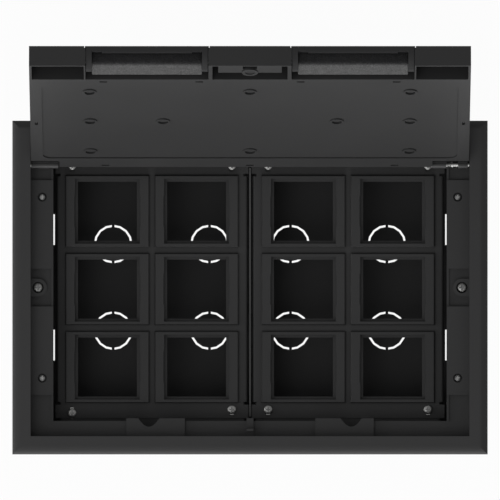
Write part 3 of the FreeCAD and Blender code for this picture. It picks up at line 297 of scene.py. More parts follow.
def raised(outline, low, high):
    """A closed shape with the outline as its section, from one height to another."""
    bm = bmesh.new()
    floor = bm.faces.new([bm.verts.new((x, y, low)) for x, y in outline])
    bmesh.ops.triangulate(bm, faces=[floor])
    grown = bmesh.ops.extrude_face_region(bm, geom=bm.faces[:], use_keep_orig=True)["geom"]
    top = [item for item in grown if isinstance(item, bmesh.types.BMVert)]
    bmesh.ops.translate(bm, verts=top, vec=(0, 0, high - low))
    bmesh.ops.recalc_face_normals(bm, faces=bm.faces)
    return bm


def carved(bm, cutter):
    """bm with the cutter's shape taken out of it."""
    parts = []
    for shape in (bm, cutter):
        mesh = bpy.data.meshes.new("carving")
        shape.to_mesh(mesh)
        shape.free()
        parts.append(bpy.data.objects.new("carving", mesh))
        bpy.context.scene.collection.objects.link(parts[-1])
    carve = parts[0].modifiers.new("carve", "BOOLEAN")
    carve.object = parts[1]
    carve.solver = "EXACT"
    bpy.context.view_layer.update()
    shaped = parts[0].evaluated_get(bpy.context.evaluated_depsgraph_get())
    result = bmesh.new()
    result.from_mesh(shaped.to_mesh())
    for part in parts:
        mesh = part.data
        bpy.data.objects.remove(part)
        bpy.data.meshes.remove(mesh)
    return result


def soften(bm):
    """Smooth shading, with an edge kept sharp where its faces meet at a large angle."""
    for face in bm.faces:
        face.smooth = True
    for edge in bm.edges:
        edge.smooth = len(edge.link_faces) == 2 and edge.calc_face_angle() < SHARP_ANGLE


def piece(bm, name, body, slot, *materials):
    """Turns bm into a piece of the box that rides on a body."""
    bmesh.ops.recalc_face_normals(bm, faces=bm.faces)
    soften(bm)
    mesh = bpy.data.meshes.new(name)
    bm.to_mesh(mesh)
    bm.free()
    for material in materials:
        mesh.materials.append(material)
    made = bpy.data.objects.new(name, mesh)
    bpy.context.scene.collection.objects.link(made)
    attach(made, body)
    return made


def merged_copy(node):
    """A bmesh of a CAD node with its loose triangles joined."""
    bm = bmesh.new()
    bm.from_mesh(NODES[node].data)
    bmesh.ops.remove_doubles(bm, verts=bm.verts, dist=CAD_TINY)
    return bm


def solids(node):
    """Lowest and highest corner of each separate solid in a CAD node."""
    bm = merged_copy(node)
    left = set(bm.verts)
    found = []
    while left:
        group, queue = [], [left.pop()]
        while queue:
            vert = queue.pop()
            group.append(vert.co.copy())
            near = [e.other_vert(vert) for e in vert.link_edges]
            queue += [v for v in near if v in left]
            left.difference_update(near)
        found.append((Vector(map(min, *group)), Vector(map(max, *group))))
    bm.free()
    return sorted(found, key=lambda pair: tuple(pair[0]))


def box_of(node):
    """Lowest and highest corner of a CAD node."""
    points = [v.co for v in NODES[node].data.vertices]
    return Vector(map(min, *points)), Vector(map(max, *points))


def lid_corners(node):
    """Lowest and highest corner of a lid node, in lid coordinates."""
    back = LID_TO_REST.inverted()
    points = [back @ v.co for v in NODES[node].data.vertices]
    return Vector(map(min, *points)), Vector(map(max, *points))


# Material helpers

def new_group(name, inputs, outputs):
    """A shader node group with its sockets, its input node and its output node."""
    group = bpy.data.node_groups.new(name, "ShaderNodeTree")
    for kind, sockets in (("INPUT", inputs), ("OUTPUT", outputs)):
        for label, socket, default in sockets:
            made = group.interface.new_socket(name=label, in_out=kind, socket_type=socket)
            if default is not None:
                made.default_value = default
    return group, group.nodes.new("NodeGroupInput"), group.nodes.new("NodeGroupOutput")


def add(tree, kind, inputs=(), **settings):
    """A new node with its settings, and with inputs as values or as sockets to link."""
    node = tree.nodes.new(kind)
    for key, value in settings.items():
        setattr(node, key, value)
    for key, value in dict(inputs).items():
        if isinstance(value, bpy.types.NodeSocket):
            tree.links.new(value, node.inputs[key])
        else:
            node.inputs[key].default_value = value
    return node


def grain_group():
    """Spark-eroded grain of moulded plastic or powder coat: a height and a slow tint."""
    name = "Moulded grain"
    if name in bpy.data.node_groups:
        return bpy.data.node_groups[name]
    group, entry, leave = new_group(
        name, [("Size", "NodeSocketFloat", 0.0006), ("Tint", "NodeSocketFloat", 0.1)],
        [("Height", "NodeSocketFloat", None), ("Shade", "NodeSocketFloat", None)])
    place = add(group, "ShaderNodeTexCoord").outputs["Object"]
    scale = add(group, "ShaderNodeMath", {0: 1.0, 1: entry.outputs["Size"]},
                operation="DIVIDE").outputs[0]
    fine = add(group, "ShaderNodeTexNoise", {"Vector": place, "Scale": scale, "Detail": 3.0})
    pits = add(group, "ShaderNodeTexVoronoi", {"Vector": place, "Scale": scale})
    height = add(group, "ShaderNodeMath", {0: fine.outputs["Fac"], 1: pits.outputs["Distance"]},
                 operation="ADD")
    cloud = add(group, "ShaderNodeTexNoise",
                {"Vector": place, "Scale": TINT_SCALE, "Detail": 4.0})
    speck = add(group, "ShaderNodeMath", {0: cloud.outputs["Fac"], 1: fine.outputs["Fac"]},
                operation="ADD")
    centred = add(group, "ShaderNodeMath", {0: speck.outputs[0], 1: 1.0}, operation="SUBTRACT")
    shade = add(group, "ShaderNodeMath",
                {0: centred.outputs[0], 1: entry.outputs["Tint"], 2: 1.0},
                operation="MULTIPLY_ADD")
    group.links.new(height.outputs[0], leave.inputs["Height"])
    group.links.new(shade.outputs[0], leave.inputs["Shade"])
    return group


def rub_group():
    """Mask of the edges that hands and shoes rub, from how far the rounded normal turns."""
    name = "Edge rub"
    if name in bpy.data.node_groups:
        return bpy.data.node_groups[name]
    group, entry, leave = new_group(
        name, [("Width", "NodeSocketFloat", 0.0006), ("Amount", "NodeSocketFloat", 0.5)],
        [("Mask", "NodeSocketFloat", None)])
    rounded = add(group, "ShaderNodeBevel", {"Radius": entry.outputs["Width"]}, samples=4)
    flat = add(group, "ShaderNodeNewGeometry").outputs["True Normal"]
    same = add(group, "ShaderNodeVectorMath", {0: rounded.outputs[0], 1: flat},
               operation="DOT_PRODUCT")
    turned = add(group, "ShaderNodeMath", {0: 1.0, 1: same.outputs["Value"]},
                 operation="SUBTRACT")
    place = add(group, "ShaderNodeTexCoord").outputs["Object"]
    patchy = add(group, "ShaderNodeTexNoise",
                 {"Vector": place, "Scale": RUB_SCALE, "Detail": 2.0})
    worn = add(group, "ShaderNodeMath", {0: turned.outputs[0], 1: patchy.outputs["Fac"]},
               operation="MULTIPLY")
    mask = add(group, "ShaderNodeMath", {0: worn.outputs[0], 1: entry.outputs["Amount"]},
               operation="MULTIPLY", use_clamp=True)
    group.links.new(mask.outputs[0], leave.inputs["Mask"])
    return group


def spangle_group():
    """Crystals of a zinc coat and the drawn lines of sheet: a tint and a roughness."""
    name = "Zinc spangle"
    if name in bpy.data.node_groups:
        return bpy.data.node_groups[name]
    group, entry, leave = new_group(
        name, [("Crystal", "NodeSocketFloat", 0.004), ("Contrast", "NodeSocketFloat", 0.3)],
        [("Shade", "NodeSocketFloat", None), ("Rough", "NodeSocketFloat", None)])
    place = add(group, "ShaderNodeTexCoord").outputs["Object"]
    scale = add(group, "ShaderNodeMath", {0: 1.0, 1: entry.outputs["Crystal"]},
                operation="DIVIDE").outputs[0]
    cells = add(group, "ShaderNodeTexVoronoi", {"Vector": place, "Scale": scale})
    cell = add(group, "ShaderNodeSeparateColor", {0: cells.outputs["Color"]}).outputs[0]
    streak = add(group, "ShaderNodeTexNoise",
                 {"Vector": place, "Scale": STREAK_SCALE, "Detail": 2.0})
    mixed = add(group, "ShaderNodeMath", {0: cell, 1: streak.outputs["Fac"]}, operation="ADD")
    centred = add(group, "ShaderNodeMath", {0: mixed.outputs[0], 1: 1.0}, operation="SUBTRACT")
    shade = add(group, "ShaderNodeMath",
                {0: centred.outputs[0], 1: entry.outputs["Contrast"], 2: 1.0},
                operation="MULTIPLY_ADD")
    rough = add(group, "ShaderNodeMapRange",
                {0: streak.outputs["Fac"], 3: ZINC_ROUGH[0], 4: ZINC_ROUGH[1]})
    group.links.new(shade.outputs[0], leave.inputs["Shade"])
    group.links.new(rough.outputs[0], leave.inputs["Rough"])
    return group


def shoulder_group():
    """Normal of a box-shaped rim's rounded edge, which leans out more and more to the side."""
    name = "Rounded shoulder"
    if name in bpy.data.node_groups:
        return bpy.data.node_groups[name]
    group, entry, leave = new_group(
        name, [("Half X", "NodeSocketFloat", 0.1), ("Half Y", "NodeSocketFloat", 0.1),
               ("Base", "NodeSocketFloat", 0.0), ("Width", "NodeSocketFloat", 0.006),
               ("Lean", "NodeSocketFloat", 1.0)],
        [("Normal", "NodeSocketVector", None)])
    place = add(group, "ShaderNodeTexCoord").outputs["Object"]
    size = add(group, "ShaderNodeVectorMath", {0: place}, operation="ABSOLUTE").outputs[0]
    side = add(group, "ShaderNodeVectorMath", {0: place}, operation="SIGN").outputs[0]
    half = add(group, "ShaderNodeCombineXYZ", {0: entry.outputs["Half X"],
                                               1: entry.outputs["Half Y"]}).outputs[0]
    inward = add(group, "ShaderNodeVectorMath", {0: half, 1: size}, operation="SUBTRACT")
    inward = add(group, "ShaderNodeSeparateXYZ", {0: inward.outputs[0]}).outputs
    side = add(group, "ShaderNodeSeparateXYZ", {0: side}).outputs
    across = add(group, "ShaderNodeMath", {0: inward[0], 1: inward[1]}, operation="LESS_THAN")
    along = add(group, "ShaderNodeMath", {0: 1.0, 1: across.outputs[0]}, operation="SUBTRACT")
    near = add(group, "ShaderNodeMath", {0: inward[0], 1: inward[1]}, operation="MINIMUM")
    share = add(group, "ShaderNodeMapRange", {0: near.outputs[0], 2: entry.outputs["Width"],
                                              3: 1.0, 4: 0.0})
    curve = add(group, "ShaderNodeMath", {0: share.outputs[0], 1: SHOULDER_POWER},
                operation="POWER")
    lean = add(group, "ShaderNodeMath", {0: curve.outputs[0], 1: entry.outputs["Lean"]},
               operation="MULTIPLY").outputs[0]
    parts = []
    for way, chosen in zip(side, (across, along)):
        part = add(group, "ShaderNodeMath", {0: way, 1: chosen.outputs[0]}, operation="MULTIPLY")
        parts.append(add(group, "ShaderNodeMath", {0: part.outputs[0], 1: lean},
                         operation="MULTIPLY").outputs[0])
    leaning = add(group, "ShaderNodeCombineXYZ", {0: parts[0], 1: parts[1], 2: 1.0}).outputs[0]
    leaning = add(group, "ShaderNodeVectorTransform", {0: leaning}, vector_type="NORMAL",
                  convert_from="OBJECT", convert_to="WORLD").outputs[0]
    flat = add(group, "ShaderNodeNewGeometry").outputs
    upward = add(group, "ShaderNodeSeparateXYZ", {0: flat["True Normal"]}).outputs[2]
    upward = add(group, "ShaderNodeMath", {0: upward, 1: UPWARD}, operation="GREATER_THAN")
    height = add(group, "ShaderNodeSeparateXYZ", {0: place}).outputs[2]
    above = add(group, "ShaderNodeMath", {0: height, 1: entry.outputs["Base"]},
                operation="GREATER_THAN")
    mask = add(group, "ShaderNodeMath", {0: upward.outputs[0], 1: above.outputs[0]},
               operation="MULTIPLY")
    mix = add(group, "ShaderNodeMix", {0: mask.outputs[0], "A": flat["Normal"], "B": leaning},
              data_type="VECTOR")
    shown = add(group, "ShaderNodeVectorMath", {0: mix.outputs["Result"]},
                operation="NORMALIZE")
    group.links.new(shown.outputs[0], leave.inputs["Normal"])
    return group


def round_shoulder(material, node, detail):
    """Gives the material of the trim the rounded normal of its outer edge."""
    tree = material.node_tree
    high = box_of(node)[1]
    shoulder = add(tree, "ShaderNodeGroup", node_tree=shoulder_group())
    values = {"Half X": high.x, "Half Y": high.y, "Base": high.z - detail.shoulder_width,
              "Width": detail.shoulder_width, "Lean": detail.shoulder_lean}
    for label, value in values.items():
        shoulder.inputs[label].default_value = value
    bump = next(n for n in tree.nodes if n.bl_idname == "ShaderNodeBump")
    tree.links.new(shoulder.outputs["Normal"], bump.inputs["Normal"])


def new_material(name):
    """A material, its node tree and its Principled shader."""
    material = bpy.data.materials.new(name)
    material.use_nodes = True
    tree = material.node_tree
    return material, tree, tree.nodes["Principled BSDF"]


def shaded(tree, colour, shade):
    """The colour, made lighter and darker over the surface by a factor near 1."""
    return add(tree, "ShaderNodeVectorMath", {0: (*colour,), "Scale": shade},
               operation="SCALE").outputs[0]


def moulded(name, colour, rough=0.5, grain=0.0006, depth=0.00003, tint=0.12, rub=0.25):
    """Grained plastic or powder coat, paler where its edges are rubbed."""
    material, tree, shader = new_material(name)
    skin = add(tree, "ShaderNodeGroup", node_tree=grain_group())
    skin.inputs["Size"].default_value = grain
    skin.inputs["Tint"].default_value = tint
    base = shaded(tree, colour, skin.outputs["Shade"])
    edge = add(tree, "ShaderNodeGroup", node_tree=rub_group())
    edge.inputs["Amount"].default_value = rub
    pale = tuple(min(1, RUB_GAIN * part + RUB_LIFT) for part in colour)
    mix = add(tree, "ShaderNodeMix", {"Factor": edge.outputs["Mask"], "B": (*pale, 1)},
              data_type="RGBA")
    tree.links.new(base, mix.inputs["A"])
    tree.links.new(mix.outputs["Result"], shader.inputs["Base Color"])
    gloss = add(tree, "ShaderNodeMath", {0: skin.outputs["Shade"], 1: rough},
                operation="MULTIPLY")
    tree.links.new(gloss.outputs[0], shader.inputs["Roughness"])
    bump = add(tree, "ShaderNodeBump", {"Height": skin.outputs["Height"], "Distance": depth,
                                        "Strength": BUMP_STRENGTH})
    tree.links.new(bump.outputs[0], shader.inputs["Normal"])
    return material


def metal(name, colour, crystal, contrast):
    """Zinc-coated steel with crystals of a size, more or less marked."""
    material, tree, shader = new_material(name)
    skin = add(tree, "ShaderNodeGroup", node_tree=spangle_group())
    skin.inputs["Crystal"].default_value = crystal
    skin.inputs["Contrast"].default_value = contrast
    tree.links.new(shaded(tree, colour, skin.outputs["Shade"]), shader.inputs["Base Color"])
    tree.links.new(skin.outputs["Rough"], shader.inputs["Roughness"])
    shader.inputs["Metallic"].default_value = 1.0
    return material


def foam_material(name, cut, skin, front):
    """Open-cell foam, coarse where it is cut, with painted shade on the faces that look to the
    front.
    """
    material, tree, shader = new_material(name)
    place = add(tree, "ShaderNodeTexCoord").outputs
    cells = add(tree, "ShaderNodeTexVoronoi", {"Vector": place["Object"],
                                               "Scale": CELL_SCALE})
    rough = add(tree, "ShaderNodeTexNoise", {"Vector": place["Object"], "Scale": CUT_SCALE,
                                             "Detail": 5.0})
    mixed = add(tree, "ShaderNodeMath",
                {0: cells.outputs["Distance"], 1: rough.outputs["Fac"]}, operation="ADD")
    # Painted shade: the foam is darker where its bump height is low, in the cells' pits
    shade = add(tree, "ShaderNodeMapRange",
                {0: mixed.outputs[0], 1: CELL_HEIGHTS[0], 2: CELL_HEIGHTS[1],
                 3: CELL_SHADES[0], 4: CELL_SHADES[1]})
    # Painted shade: the faces that look to the front take the darker colour given as skin
    facing = add(tree, "ShaderNodeVectorMath", {0: place["Normal"], 1: (*front,)},
                 operation="DOT_PRODUCT")
    closed = add(tree, "ShaderNodeMapRange",
                 {0: facing.outputs["Value"], 1: FRONT_SHADE_DOTS[0], 2: FRONT_SHADE_DOTS[1]},
                 interpolation_type="SMOOTHSTEP")
    mix = add(tree, "ShaderNodeMix", {0: closed.outputs[0], "A": (*cut, 1), "B": (*skin, 1)},
              data_type="RGBA")
    colour = add(tree, "ShaderNodeVectorMath",
                 {0: mix.outputs["Result"], "Scale": shade.outputs[0]}, operation="SCALE")
    tree.links.new(colour.outputs[0], shader.inputs["Base Color"])
    bump = add(tree, "ShaderNodeBump", {"Height": mixed.outputs[0], "Distance": FOAM_DEPTH})
    tree.links.new(bump.outputs[0], shader.inputs["Normal"])
    shader.inputs["Roughness"].default_value = 0.95
    return material


def paint(material, *names):
    """Gives CAD nodes their material."""
    for name in names:
        mesh = NODES[name].data
        mesh.materials.clear()
        mesh.materials.append(material)


# Operators

class FLOORBOX_OT_finishes(bpy.types.Operator):
    """Gives every CAD piece its plastic, powder coat or metal"""
    bl_idname = "floorbox.finishes"
    bl_label = "Finishes"

    def execute(self, context):
        tint = context.scene.floorbox_finish
        modules = [name for name in NODES if name.startswith("module_frame")]
        plates = [name for name in NODES if name.startswith("accessory_plate")]
        brackets = [name for name in NODES if name.startswith("bracket")]
        jaws = [name for name in NODES if name.startswith("clamp_jaw")]
        flaps = [name for name in NODES if name.startswith("cable_flap")]
        trim = moulded("Trim plastic", tint.trim, rub=0.15)
        round_shoulder(trim, "floor_frame", context.scene.floorbox_detail)
        paint(trim, "floor_frame")
        paint(moulded("Lid plastic", tint.lid), "lid_frame", "lock_carrier")
        paint(moulded("Flap plastic", tint.flap), *flaps)
        paint(moulded("Lock plastic", tint.lid, rough=0.4), "lock_barrel")
        paint(moulded("Module plastic", tint.module, rough=0.45), *modules)
        paint(moulded("Tray powder coat", tint.tray, rough=0.6, grain=0.0009), "base_tray")
        paint(moulded("Plate powder coat", tint.plate, rough=0.55, grain=0.0009, rub=0.2),
              "lid_plate", *plates, *brackets)
        paint(moulded("Dull zinc", tint.divider, rough=0.5, grain=0.0012, tint=0.9, rub=0.0),
              "compartment_divider")
        paint(metal("Galvanised sheet", tint.galvanised, crystal=0.005, contrast=0.3),
              "lock_cam", *jaws)
        paint(metal("Bright pin steel", tint.zinc, crystal=0.0015, contrast=0.15),
              "hinge_pin", "release_pin")
        return {"FINISHED"}


def cross_prism(tip, half, low, high):
    """An upright bar whose section is a cross, for cutting recesses."""
    corner = [(half, half), (half, tip), (-half, tip)]
    outline = [(x * math.cos(turn) - y * math.sin(turn), x * math.sin(turn) + y * math.cos(turn))
               for turn in (k * math.pi / 2 for k in range(4)) for x, y in corner]
    return raised(outline, low, high)


def cross_screw(low, high, seat, head_r, shank_r, detail):
    """A pan head screw with a cross recess, standing with its axis along Z."""
    head_h = high.z - seat
    foot = low.z - seat
    rim = head_h * detail.rim_height
    dome = [(head_r * math.cos(a), rim + (head_h - rim) * math.sin(a))
            for a in (k * math.pi / (2 * DOME_STEPS) for k in range(DOME_STEPS))]
    shank = [(0, foot), (shank_r * TIP_RADIUS, foot), (shank_r, foot + shank_r * TIP_HEIGHT),
             (shank_r, 0)]
    edge = [(head_r * SEAT_RADIUS, 0), (head_r, head_h * SEAT_HEIGHT)]
    profile = shank + edge + dome + [(0, head_h)]
    tip, half = detail.recess_reach * head_r, detail.recess_width * head_r / 2
    bottom = head_h * (1 - detail.recess_depth)
    bm = carved(spun(profile, ROUND_SIDES), cross_prism(tip, half, bottom, 2 * head_h))
    # Recess faces take the second material, which in the plate screws is painted shade
    for face in bm.faces:
        x, y, z = face.calc_center_median()
        near, far = sorted((abs(x), abs(y)))
        face.material_index = near < half + TINY and far < tip + TINY and z > bottom - TINY
    middle = (low + high) / 2
    bmesh.ops.translate(bm, verts=bm.verts, vec=(middle.x, middle.y, seat))
    return bm


def nut_flange(middle, height, detail):
    """Flange of a nut pressed into a bracket, as far as it shows in the plate's slot."""
    bm = bmesh.new()
    for way in (1, -1):
        outline = []
        for radius, turn in ((detail.nut_radius, way), (detail.nut_bore, -way)):
            reach = math.asin(detail.nut_width / radius)
            outline += [(radius * math.sin(turn * reach * k / BAND_STEPS),
                         way * radius * math.cos(reach * k / BAND_STEPS))
                        for k in range(-BAND_STEPS, BAND_STEPS + 1)]
        join(bm, raised(outline, 0, FLANGE_T))
    bmesh.ops.translate(bm, verts=bm.verts, vec=(middle.x, middle.y, height))
    return bm


def head_sizes(node, low, high):
    """Seat height, head radius and shank radius of one plain screw of a CAD node."""
    middle = (low + high) / 2
    bm = merged_copy(node)
    near = [v.co for v in bm.verts if low.x <= v.co.x <= high.x and low.y <= v.co.y <= high.y]
    reach = {}
    for point in near:
        level = round(point.z, LEVEL_DIGITS)
        radius = math.hypot(point.x - middle.x, point.y - middle.y)
        reach[level] = max(reach.get(level, 0), radius)
    bm.free()
    levels = sorted(reach)
    return levels[-2], reach[levels[-1]], reach[levels[0]]


class FLOORBOX_OT_lid(bpy.types.Operator):
    """Lid moulding with deeper round holes in the bosses of its underside"""
    bl_idname = "floorbox.lid"
    bl_label = "Lid"

    def execute(self, context):
        detail = context.scene.floorbox_detail
        outline = circle(detail.boss_bore, ROUND_SIDES)
        low, high = LID_UNDER - detail.boss_bore, LID_UNDER + detail.boss_depth
        cutter = bmesh.new()
        for x, y in BOSS_PLACES:
            hole = raised(outline, low, high)
            bmesh.ops.translate(hole, verts=hole.verts, vec=(x, y, 0))
            join(cutter, hole)
        bmesh.ops.transform(cutter, verts=cutter.verts, matrix=LID_TO_REST)
        bmesh.ops.recalc_face_normals(cutter, faces=cutter.faces)
        bm = carved(merged_copy("lid_frame"), cutter)
        made = piece(bm, "lid_frame_bored", "lid", "dark_lid", bpy.data.materials["Lid plastic"])
        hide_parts("lid_frame")
        return {"FINISHED"}


class FLOORBOX_OT_screws(bpy.types.Operator):
    """Pan head screws with cross recesses, in place of the plain ones"""
    bl_idname = "floorbox.screws"
    bl_label = "Screws"

    def execute(self, context):
        detail = context.scene.floorbox_detail
        tint = context.scene.floorbox_finish
        bright = metal("Bright zinc", tint.zinc, crystal=0.0012, contrast=0.2)
        dark = metal("Dark zinc", tint.dark_zinc_and_recess_shade, crystal=0.0012, contrast=0.3)
        bodies = {"plate_screws": "box", "frame_screws": "box",
                  "clamp_screw_left": "clamp_screw_left",
                  "clamp_screw_right": "clamp_screw_right"}
        plate_low = box_of("bracket_front_left")[1].z
        for node, body in bodies.items():
            group = bmesh.new()
            for low, high in solids(node):
                seat, head_r, shank_r = head_sizes(node, low, high)
                join(group, cross_screw(low, high, seat, head_r, shank_r, detail))
                if node == "plate_screws" and high.y < 0:
                    join(group, nut_flange((low + high) / 2, plate_low, detail))
            # Frame screws: dark zinc heads, bright zinc recesses; plate screws: bright heads,
            # painted shade in the recesses
            skins = (dark, bright) if node == "frame_screws" else (bright, dark)
            made = piece(group, node + "_crossed", body, "zinc", *skins)
            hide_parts(node)
        return {"FINISHED"}


def faces_look(edge, *ways):
    """True if the edge lies between faces that look in each of the ways."""
    return all(any(face.normal.dot(way) > LOOK_DOT for face in edge.link_faces) for way in ways)


def round_edges(bm, edges, radius, steps):
    """Rounds the edges of bm."""
    bmesh.ops.bevel(bm, geom=edges, offset=radius, affect="EDGES", segments=steps, profile=0.5,
                    material=-1)


class FLOORBOX_OT_foam(bpy.types.Operator):
    """Foam pads under the cable flaps, with soft edges and an uneven face"""
    bl_idname = "floorbox.foam"
    bl_label = "Foam pads"

    def execute(self, context):
        tint = context.scene.floorbox_finish
        front = (LID_TO_REST.to_3x3() @ Vector((0, 1, 0))).normalized()
        down = (LID_TO_REST.to_3x3() @ Vector((0, 0, -1))).normalized()
        # The foam's front faces get painted shade in the darker front colour
        material = foam_material("Cable foam", tint.foam, tint.foam_front_shade, front)
        detail = context.scene.floorbox_detail
        for side in ("left", "right"):
            node = "flap_foam_" + side
            bm = merged_copy(node)
            bmesh.ops.dissolve_limit(bm, angle_limit=FLAT_ANGLE, verts=bm.verts, edges=bm.edges)
            bmesh.ops.recalc_face_normals(bm, faces=bm.faces)
            lower = [e for e in bm.edges if faces_look(e, front, down)]
            round_edges(bm, lower, detail.foam_fold, FOLD_STEPS)
            corners = [e for e in bm.edges if e.calc_face_angle(0) > CORNER_ANGLE]
            round_edges(bm, corners, detail.foam_round, EDGE_STEPS)
            made = piece(bm, node + "_soft", "flap_" + side, "foam", material)
            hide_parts(node)
        return {"FINISHED"}


class FLOORBOX_OT_spring(bpy.types.Operator):
    """Round wire spring on the sliding hinge pin"""
    bl_idname = "floorbox.spring"
    bl_label = "Spring"

    def execute(self, context):
        detail = context.scene.floorbox_detail
        low, high = lid_corners("release_spring")
        wire = detail.wire_radius
        radius = (high.z - low.z) / 2 - 2 * wire
        count = detail.coil_turns * COIL_STEPS
        rise = (high.x - low.x - 2 * wire) / count
        section = circle(wire, WIRE_SIDES)
        bm = bmesh.new()
        rings = []
        for step in range(count + 1):
            turn = 2 * math.pi * step / COIL_STEPS
            outward = Vector((0, math.cos(turn), math.sin(turn)))
            middle = Vector((low.x + wire + step * rise, HINGE_AT.y, HINGE_AT.z))
            middle += radius * outward
            rings.append([bm.verts.new(middle + along * Vector((1, 0, 0)) + out * outward)
                          for along, out in section])
        for near, far in zip(rings, rings[1:]):
            for k in range(WIRE_SIDES):
                bm.faces.new((near[k - 1], near[k], far[k], far[k - 1]))
        bm.faces.new(rings[0])
        bm.faces.new(rings[-1])
        zinc = context.scene.floorbox_finish.zinc
        wire_steel = metal("Spring wire", zinc, crystal=0.001, contrast=0.15)
        made = piece(bm, "release_spring_wire", "release_pin", "pin_steel", wire_steel)
        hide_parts("release_spring")
        return {"FINISHED"}


def arc_below(radius, front, height):
    """Arc under the hinge axis, from a distance behind it to where it rises to a height."""
    start, end = math.asin(front / radius), math.acos(-height / radius)
    turns = (start + (end - start) * k / TROUGH_STEPS for k in range(TROUGH_STEPS + 1))
    return [(radius * math.sin(turn), -radius * math.cos(turn)) for turn in turns]


class FLOORBOX_OT_trough(bpy.types.Operator):
    """Curved floors of the hinge trough, in the frame's corners beside the tray"""
    bl_idname = "floorbox.trough"
    bl_label = "Trough floors"

    def execute(self, context):
        detail = context.scene.floorbox_detail
        tray_side = max(v.co.x for v in NODES["base_tray"].data.vertices if v.co.z < TRAY_LOW)
        outer_side = tray_side + detail.trough_width
        under, top = box_of("base_tray")[1].z - HINGE_AT.z, TROUGH_TOP - HINGE_AT.z
        inner = arc_below(detail.trough_radius, TROUGH_FRONT, under)
        outer = arc_below(detail.trough_radius + detail.trough_thickness,
                          TROUGH_FRONT - detail.trough_thickness, under)
        floor = [(inner[0][0], top)] + inner + outer[::-1] + [(outer[0][0], top)]
        material = bpy.data.materials["Trim plastic"]
        for side, name in ((-1, "trough_floor_left"), (1, "trough_floor_right")):
            bm = raised(floor, tray_side, outer_side)
            join(bm, raised(outer, outer_side - detail.trough_cap, outer_side))
            for vert in bm.verts:
                y, z, x = vert.co
                vert.co = (side * x, HINGE_AT.y + y, HINGE_AT.z + z)
            piece(bm, name, "box", "dark_frame", material)
        return {"FINISHED"}


class FLOORBOX_OT_stage(bpy.types.Operator):
    """Pale floor, soft lights and the camera that looks straight down"""
    bl_idname = "floorbox.stage"
    bl_label = "Stage"

    def execute(self, context):
        stage = context.scene.floorbox_stage
        make_floor()
        make_world(stage.ambient)
        middle = Vector((0, stage.view_y, AIM_Z))
        for name, place, size, setting in LIGHTS:
            lamp = bpy.data.lights.new(name, "AREA")
            lamp.size = size
            lamp.energy = getattr(stage, setting)
            holder = bpy.data.objects.new(name, lamp)
            holder.location = place
            holder.rotation_euler = (middle - Vector(place)).to_track_quat("-Z", "Y").to_euler()
            context.scene.collection.objects.link(holder)
        make_camera(context.scene, stage)
        context.scene.view_settings.view_transform = "Standard"
        return {"FINISHED"}


def white_for_views(tree, shaded_socket, strength):
    """Shows an even white to the camera and in reflections, and the shading to other rays."""
    path = add(tree, "ShaderNodeLightPath").outputs
    seen = add(tree, "ShaderNodeMath", {0: path["Is Camera Ray"], 1: path["Is Glossy Ray"]},
               operation="MAXIMUM")
    seen = add(tree, "ShaderNodeMath", {0: seen.outputs[0], 1: path["Is Transmission Ray"]},
               operation="MAXIMUM")
    part = add(tree, "ShaderNodeMath", {0: seen.outputs[0], 1: strength}, operation="MULTIPLY")
    glow = add(tree, "ShaderNodeEmission", {"Color": (1, 1, 1, 1), "Strength": 1.0})
    mix = add(tree, "ShaderNodeMixShader", {0: part.outputs[0]})
    tree.links.new(shaded_socket, mix.inputs[1])
    tree.links.new(glow.outputs[0], mix.inputs[2])
    return mix.outputs[0]


def make_floor():
    """Pale floor under the part, even white in every view."""
    bm = bmesh.new()
    bmesh.ops.create_grid(bm, x_segments=1, y_segments=1, size=FLOOR_SIZE)
    mesh = bpy.data.meshes.new("Studio floor")
    bm.to_mesh(mesh)
    bm.free()
    material, tree, shader = new_material("Studio floor")
    mottle = add(tree, "ShaderNodeTexNoise", {"Scale": MOTTLE_SCALE})
    colour = add(tree, "ShaderNodeMapRange",
                 {0: mottle.outputs["Fac"], 3: FLOOR_SHADES[0], 4: FLOOR_SHADES[1]})
    tree.links.new(colour.outputs[0], shader.inputs["Base Color"])
    shader.inputs["Roughness"].default_value = 0.9
    out = tree.nodes["Material Output"]
    shown = white_for_views(tree, shader.outputs[0], FLOOR_WHITE)
    tree.links.new(shown, out.inputs["Surface"])
    mesh.materials.append(material)
    floor = bpy.data.objects.new("Studio floor", mesh)
    floor.location.z = CAD_LOW.z - FLOOR_DROP
    bpy.context.scene.collection.objects.link(floor)


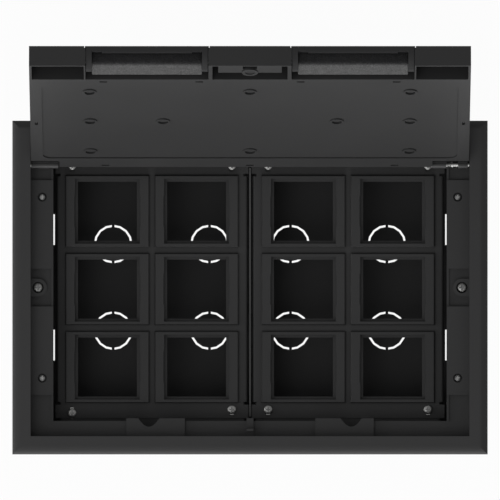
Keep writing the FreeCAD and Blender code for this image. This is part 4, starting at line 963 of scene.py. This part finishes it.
def make_world(ambient):
    """White sky, which lights the part less than it shows."""
    world = bpy.data.worlds.new("Studio")
    world.use_nodes = True
    tree = world.node_tree
    sky = tree.nodes["Background"]
    sky.inputs["Color"].default_value = (1, 1, 1, 1)
    path = add(tree, "ShaderNodeLightPath").outputs
    strength = add(tree, "ShaderNodeMapRange", {0: path["Is Camera Ray"], 3: ambient, 4: 1.0})
    tree.links.new(strength.outputs[0], sky.inputs["Strength"])
    bpy.context.scene.world = world


def make_camera(scene, stage):
    """Camera over the part, far off, that looks straight down."""
    camera = bpy.data.cameras.new("Camera")
    camera.sensor_width = SENSOR
    camera.lens = stage.lens
    distance = stage.view_width * stage.lens / camera.sensor_width
    camera.clip_start = CLIP_START
    camera.clip_end = 4 * distance
    holder = bpy.data.objects.new("Camera", camera)
    holder.location = (0, stage.view_y, stage.view_z + distance)
    scene.collection.objects.link(holder)
    scene.camera = holder


class FLOORBOX_PT_panel(bpy.types.Panel):
    """Steps that dress the floor box"""
    bl_idname = "FLOORBOX_PT_panel"
    bl_label = "Floor socket box"
    bl_space_type = "VIEW_3D"
    bl_region_type = "UI"
    bl_category = "Floor box"

    def draw(self, context):
        column = self.layout.column()
        for step in STEPS:
            column.operator(step.bl_idname)
        for settings in ("floorbox_finish", "floorbox_detail", "floorbox_stage"):
            group = getattr(context.scene, settings)
            box = self.layout.box()
            for key in group.bl_rna.properties.keys():
                if key not in ("rna_type", "name"):
                    box.prop(group, key)


STEPS = (FLOORBOX_OT_finishes, FLOORBOX_OT_lid, FLOORBOX_OT_screws, FLOORBOX_OT_foam,
         FLOORBOX_OT_spring, FLOORBOX_OT_trough, FLOORBOX_OT_stage)
SETTINGS = {"floorbox_finish": FinishSettings, "floorbox_detail": DetailSettings,
            "floorbox_stage": StageSettings}
CLASSES = tuple(SETTINGS.values()) + STEPS + (FLOORBOX_PT_panel,)


def register():
    for cls in CLASSES:
        bpy.utils.register_class(cls)
    for key, group in SETTINGS.items():
        setattr(bpy.types.Scene, key, bpy.props.PointerProperty(type=group))


def unregister():
    for key in SETTINGS:
        delattr(bpy.types.Scene, key)
    for cls in reversed(CLASSES):
        bpy.utils.unregister_class(cls)


def main():
    register()
    for step in STEPS:
        area, name = step.bl_idname.split(".")
        getattr(getattr(bpy.ops, area), name)()


if __name__ == "__main__":
    main()
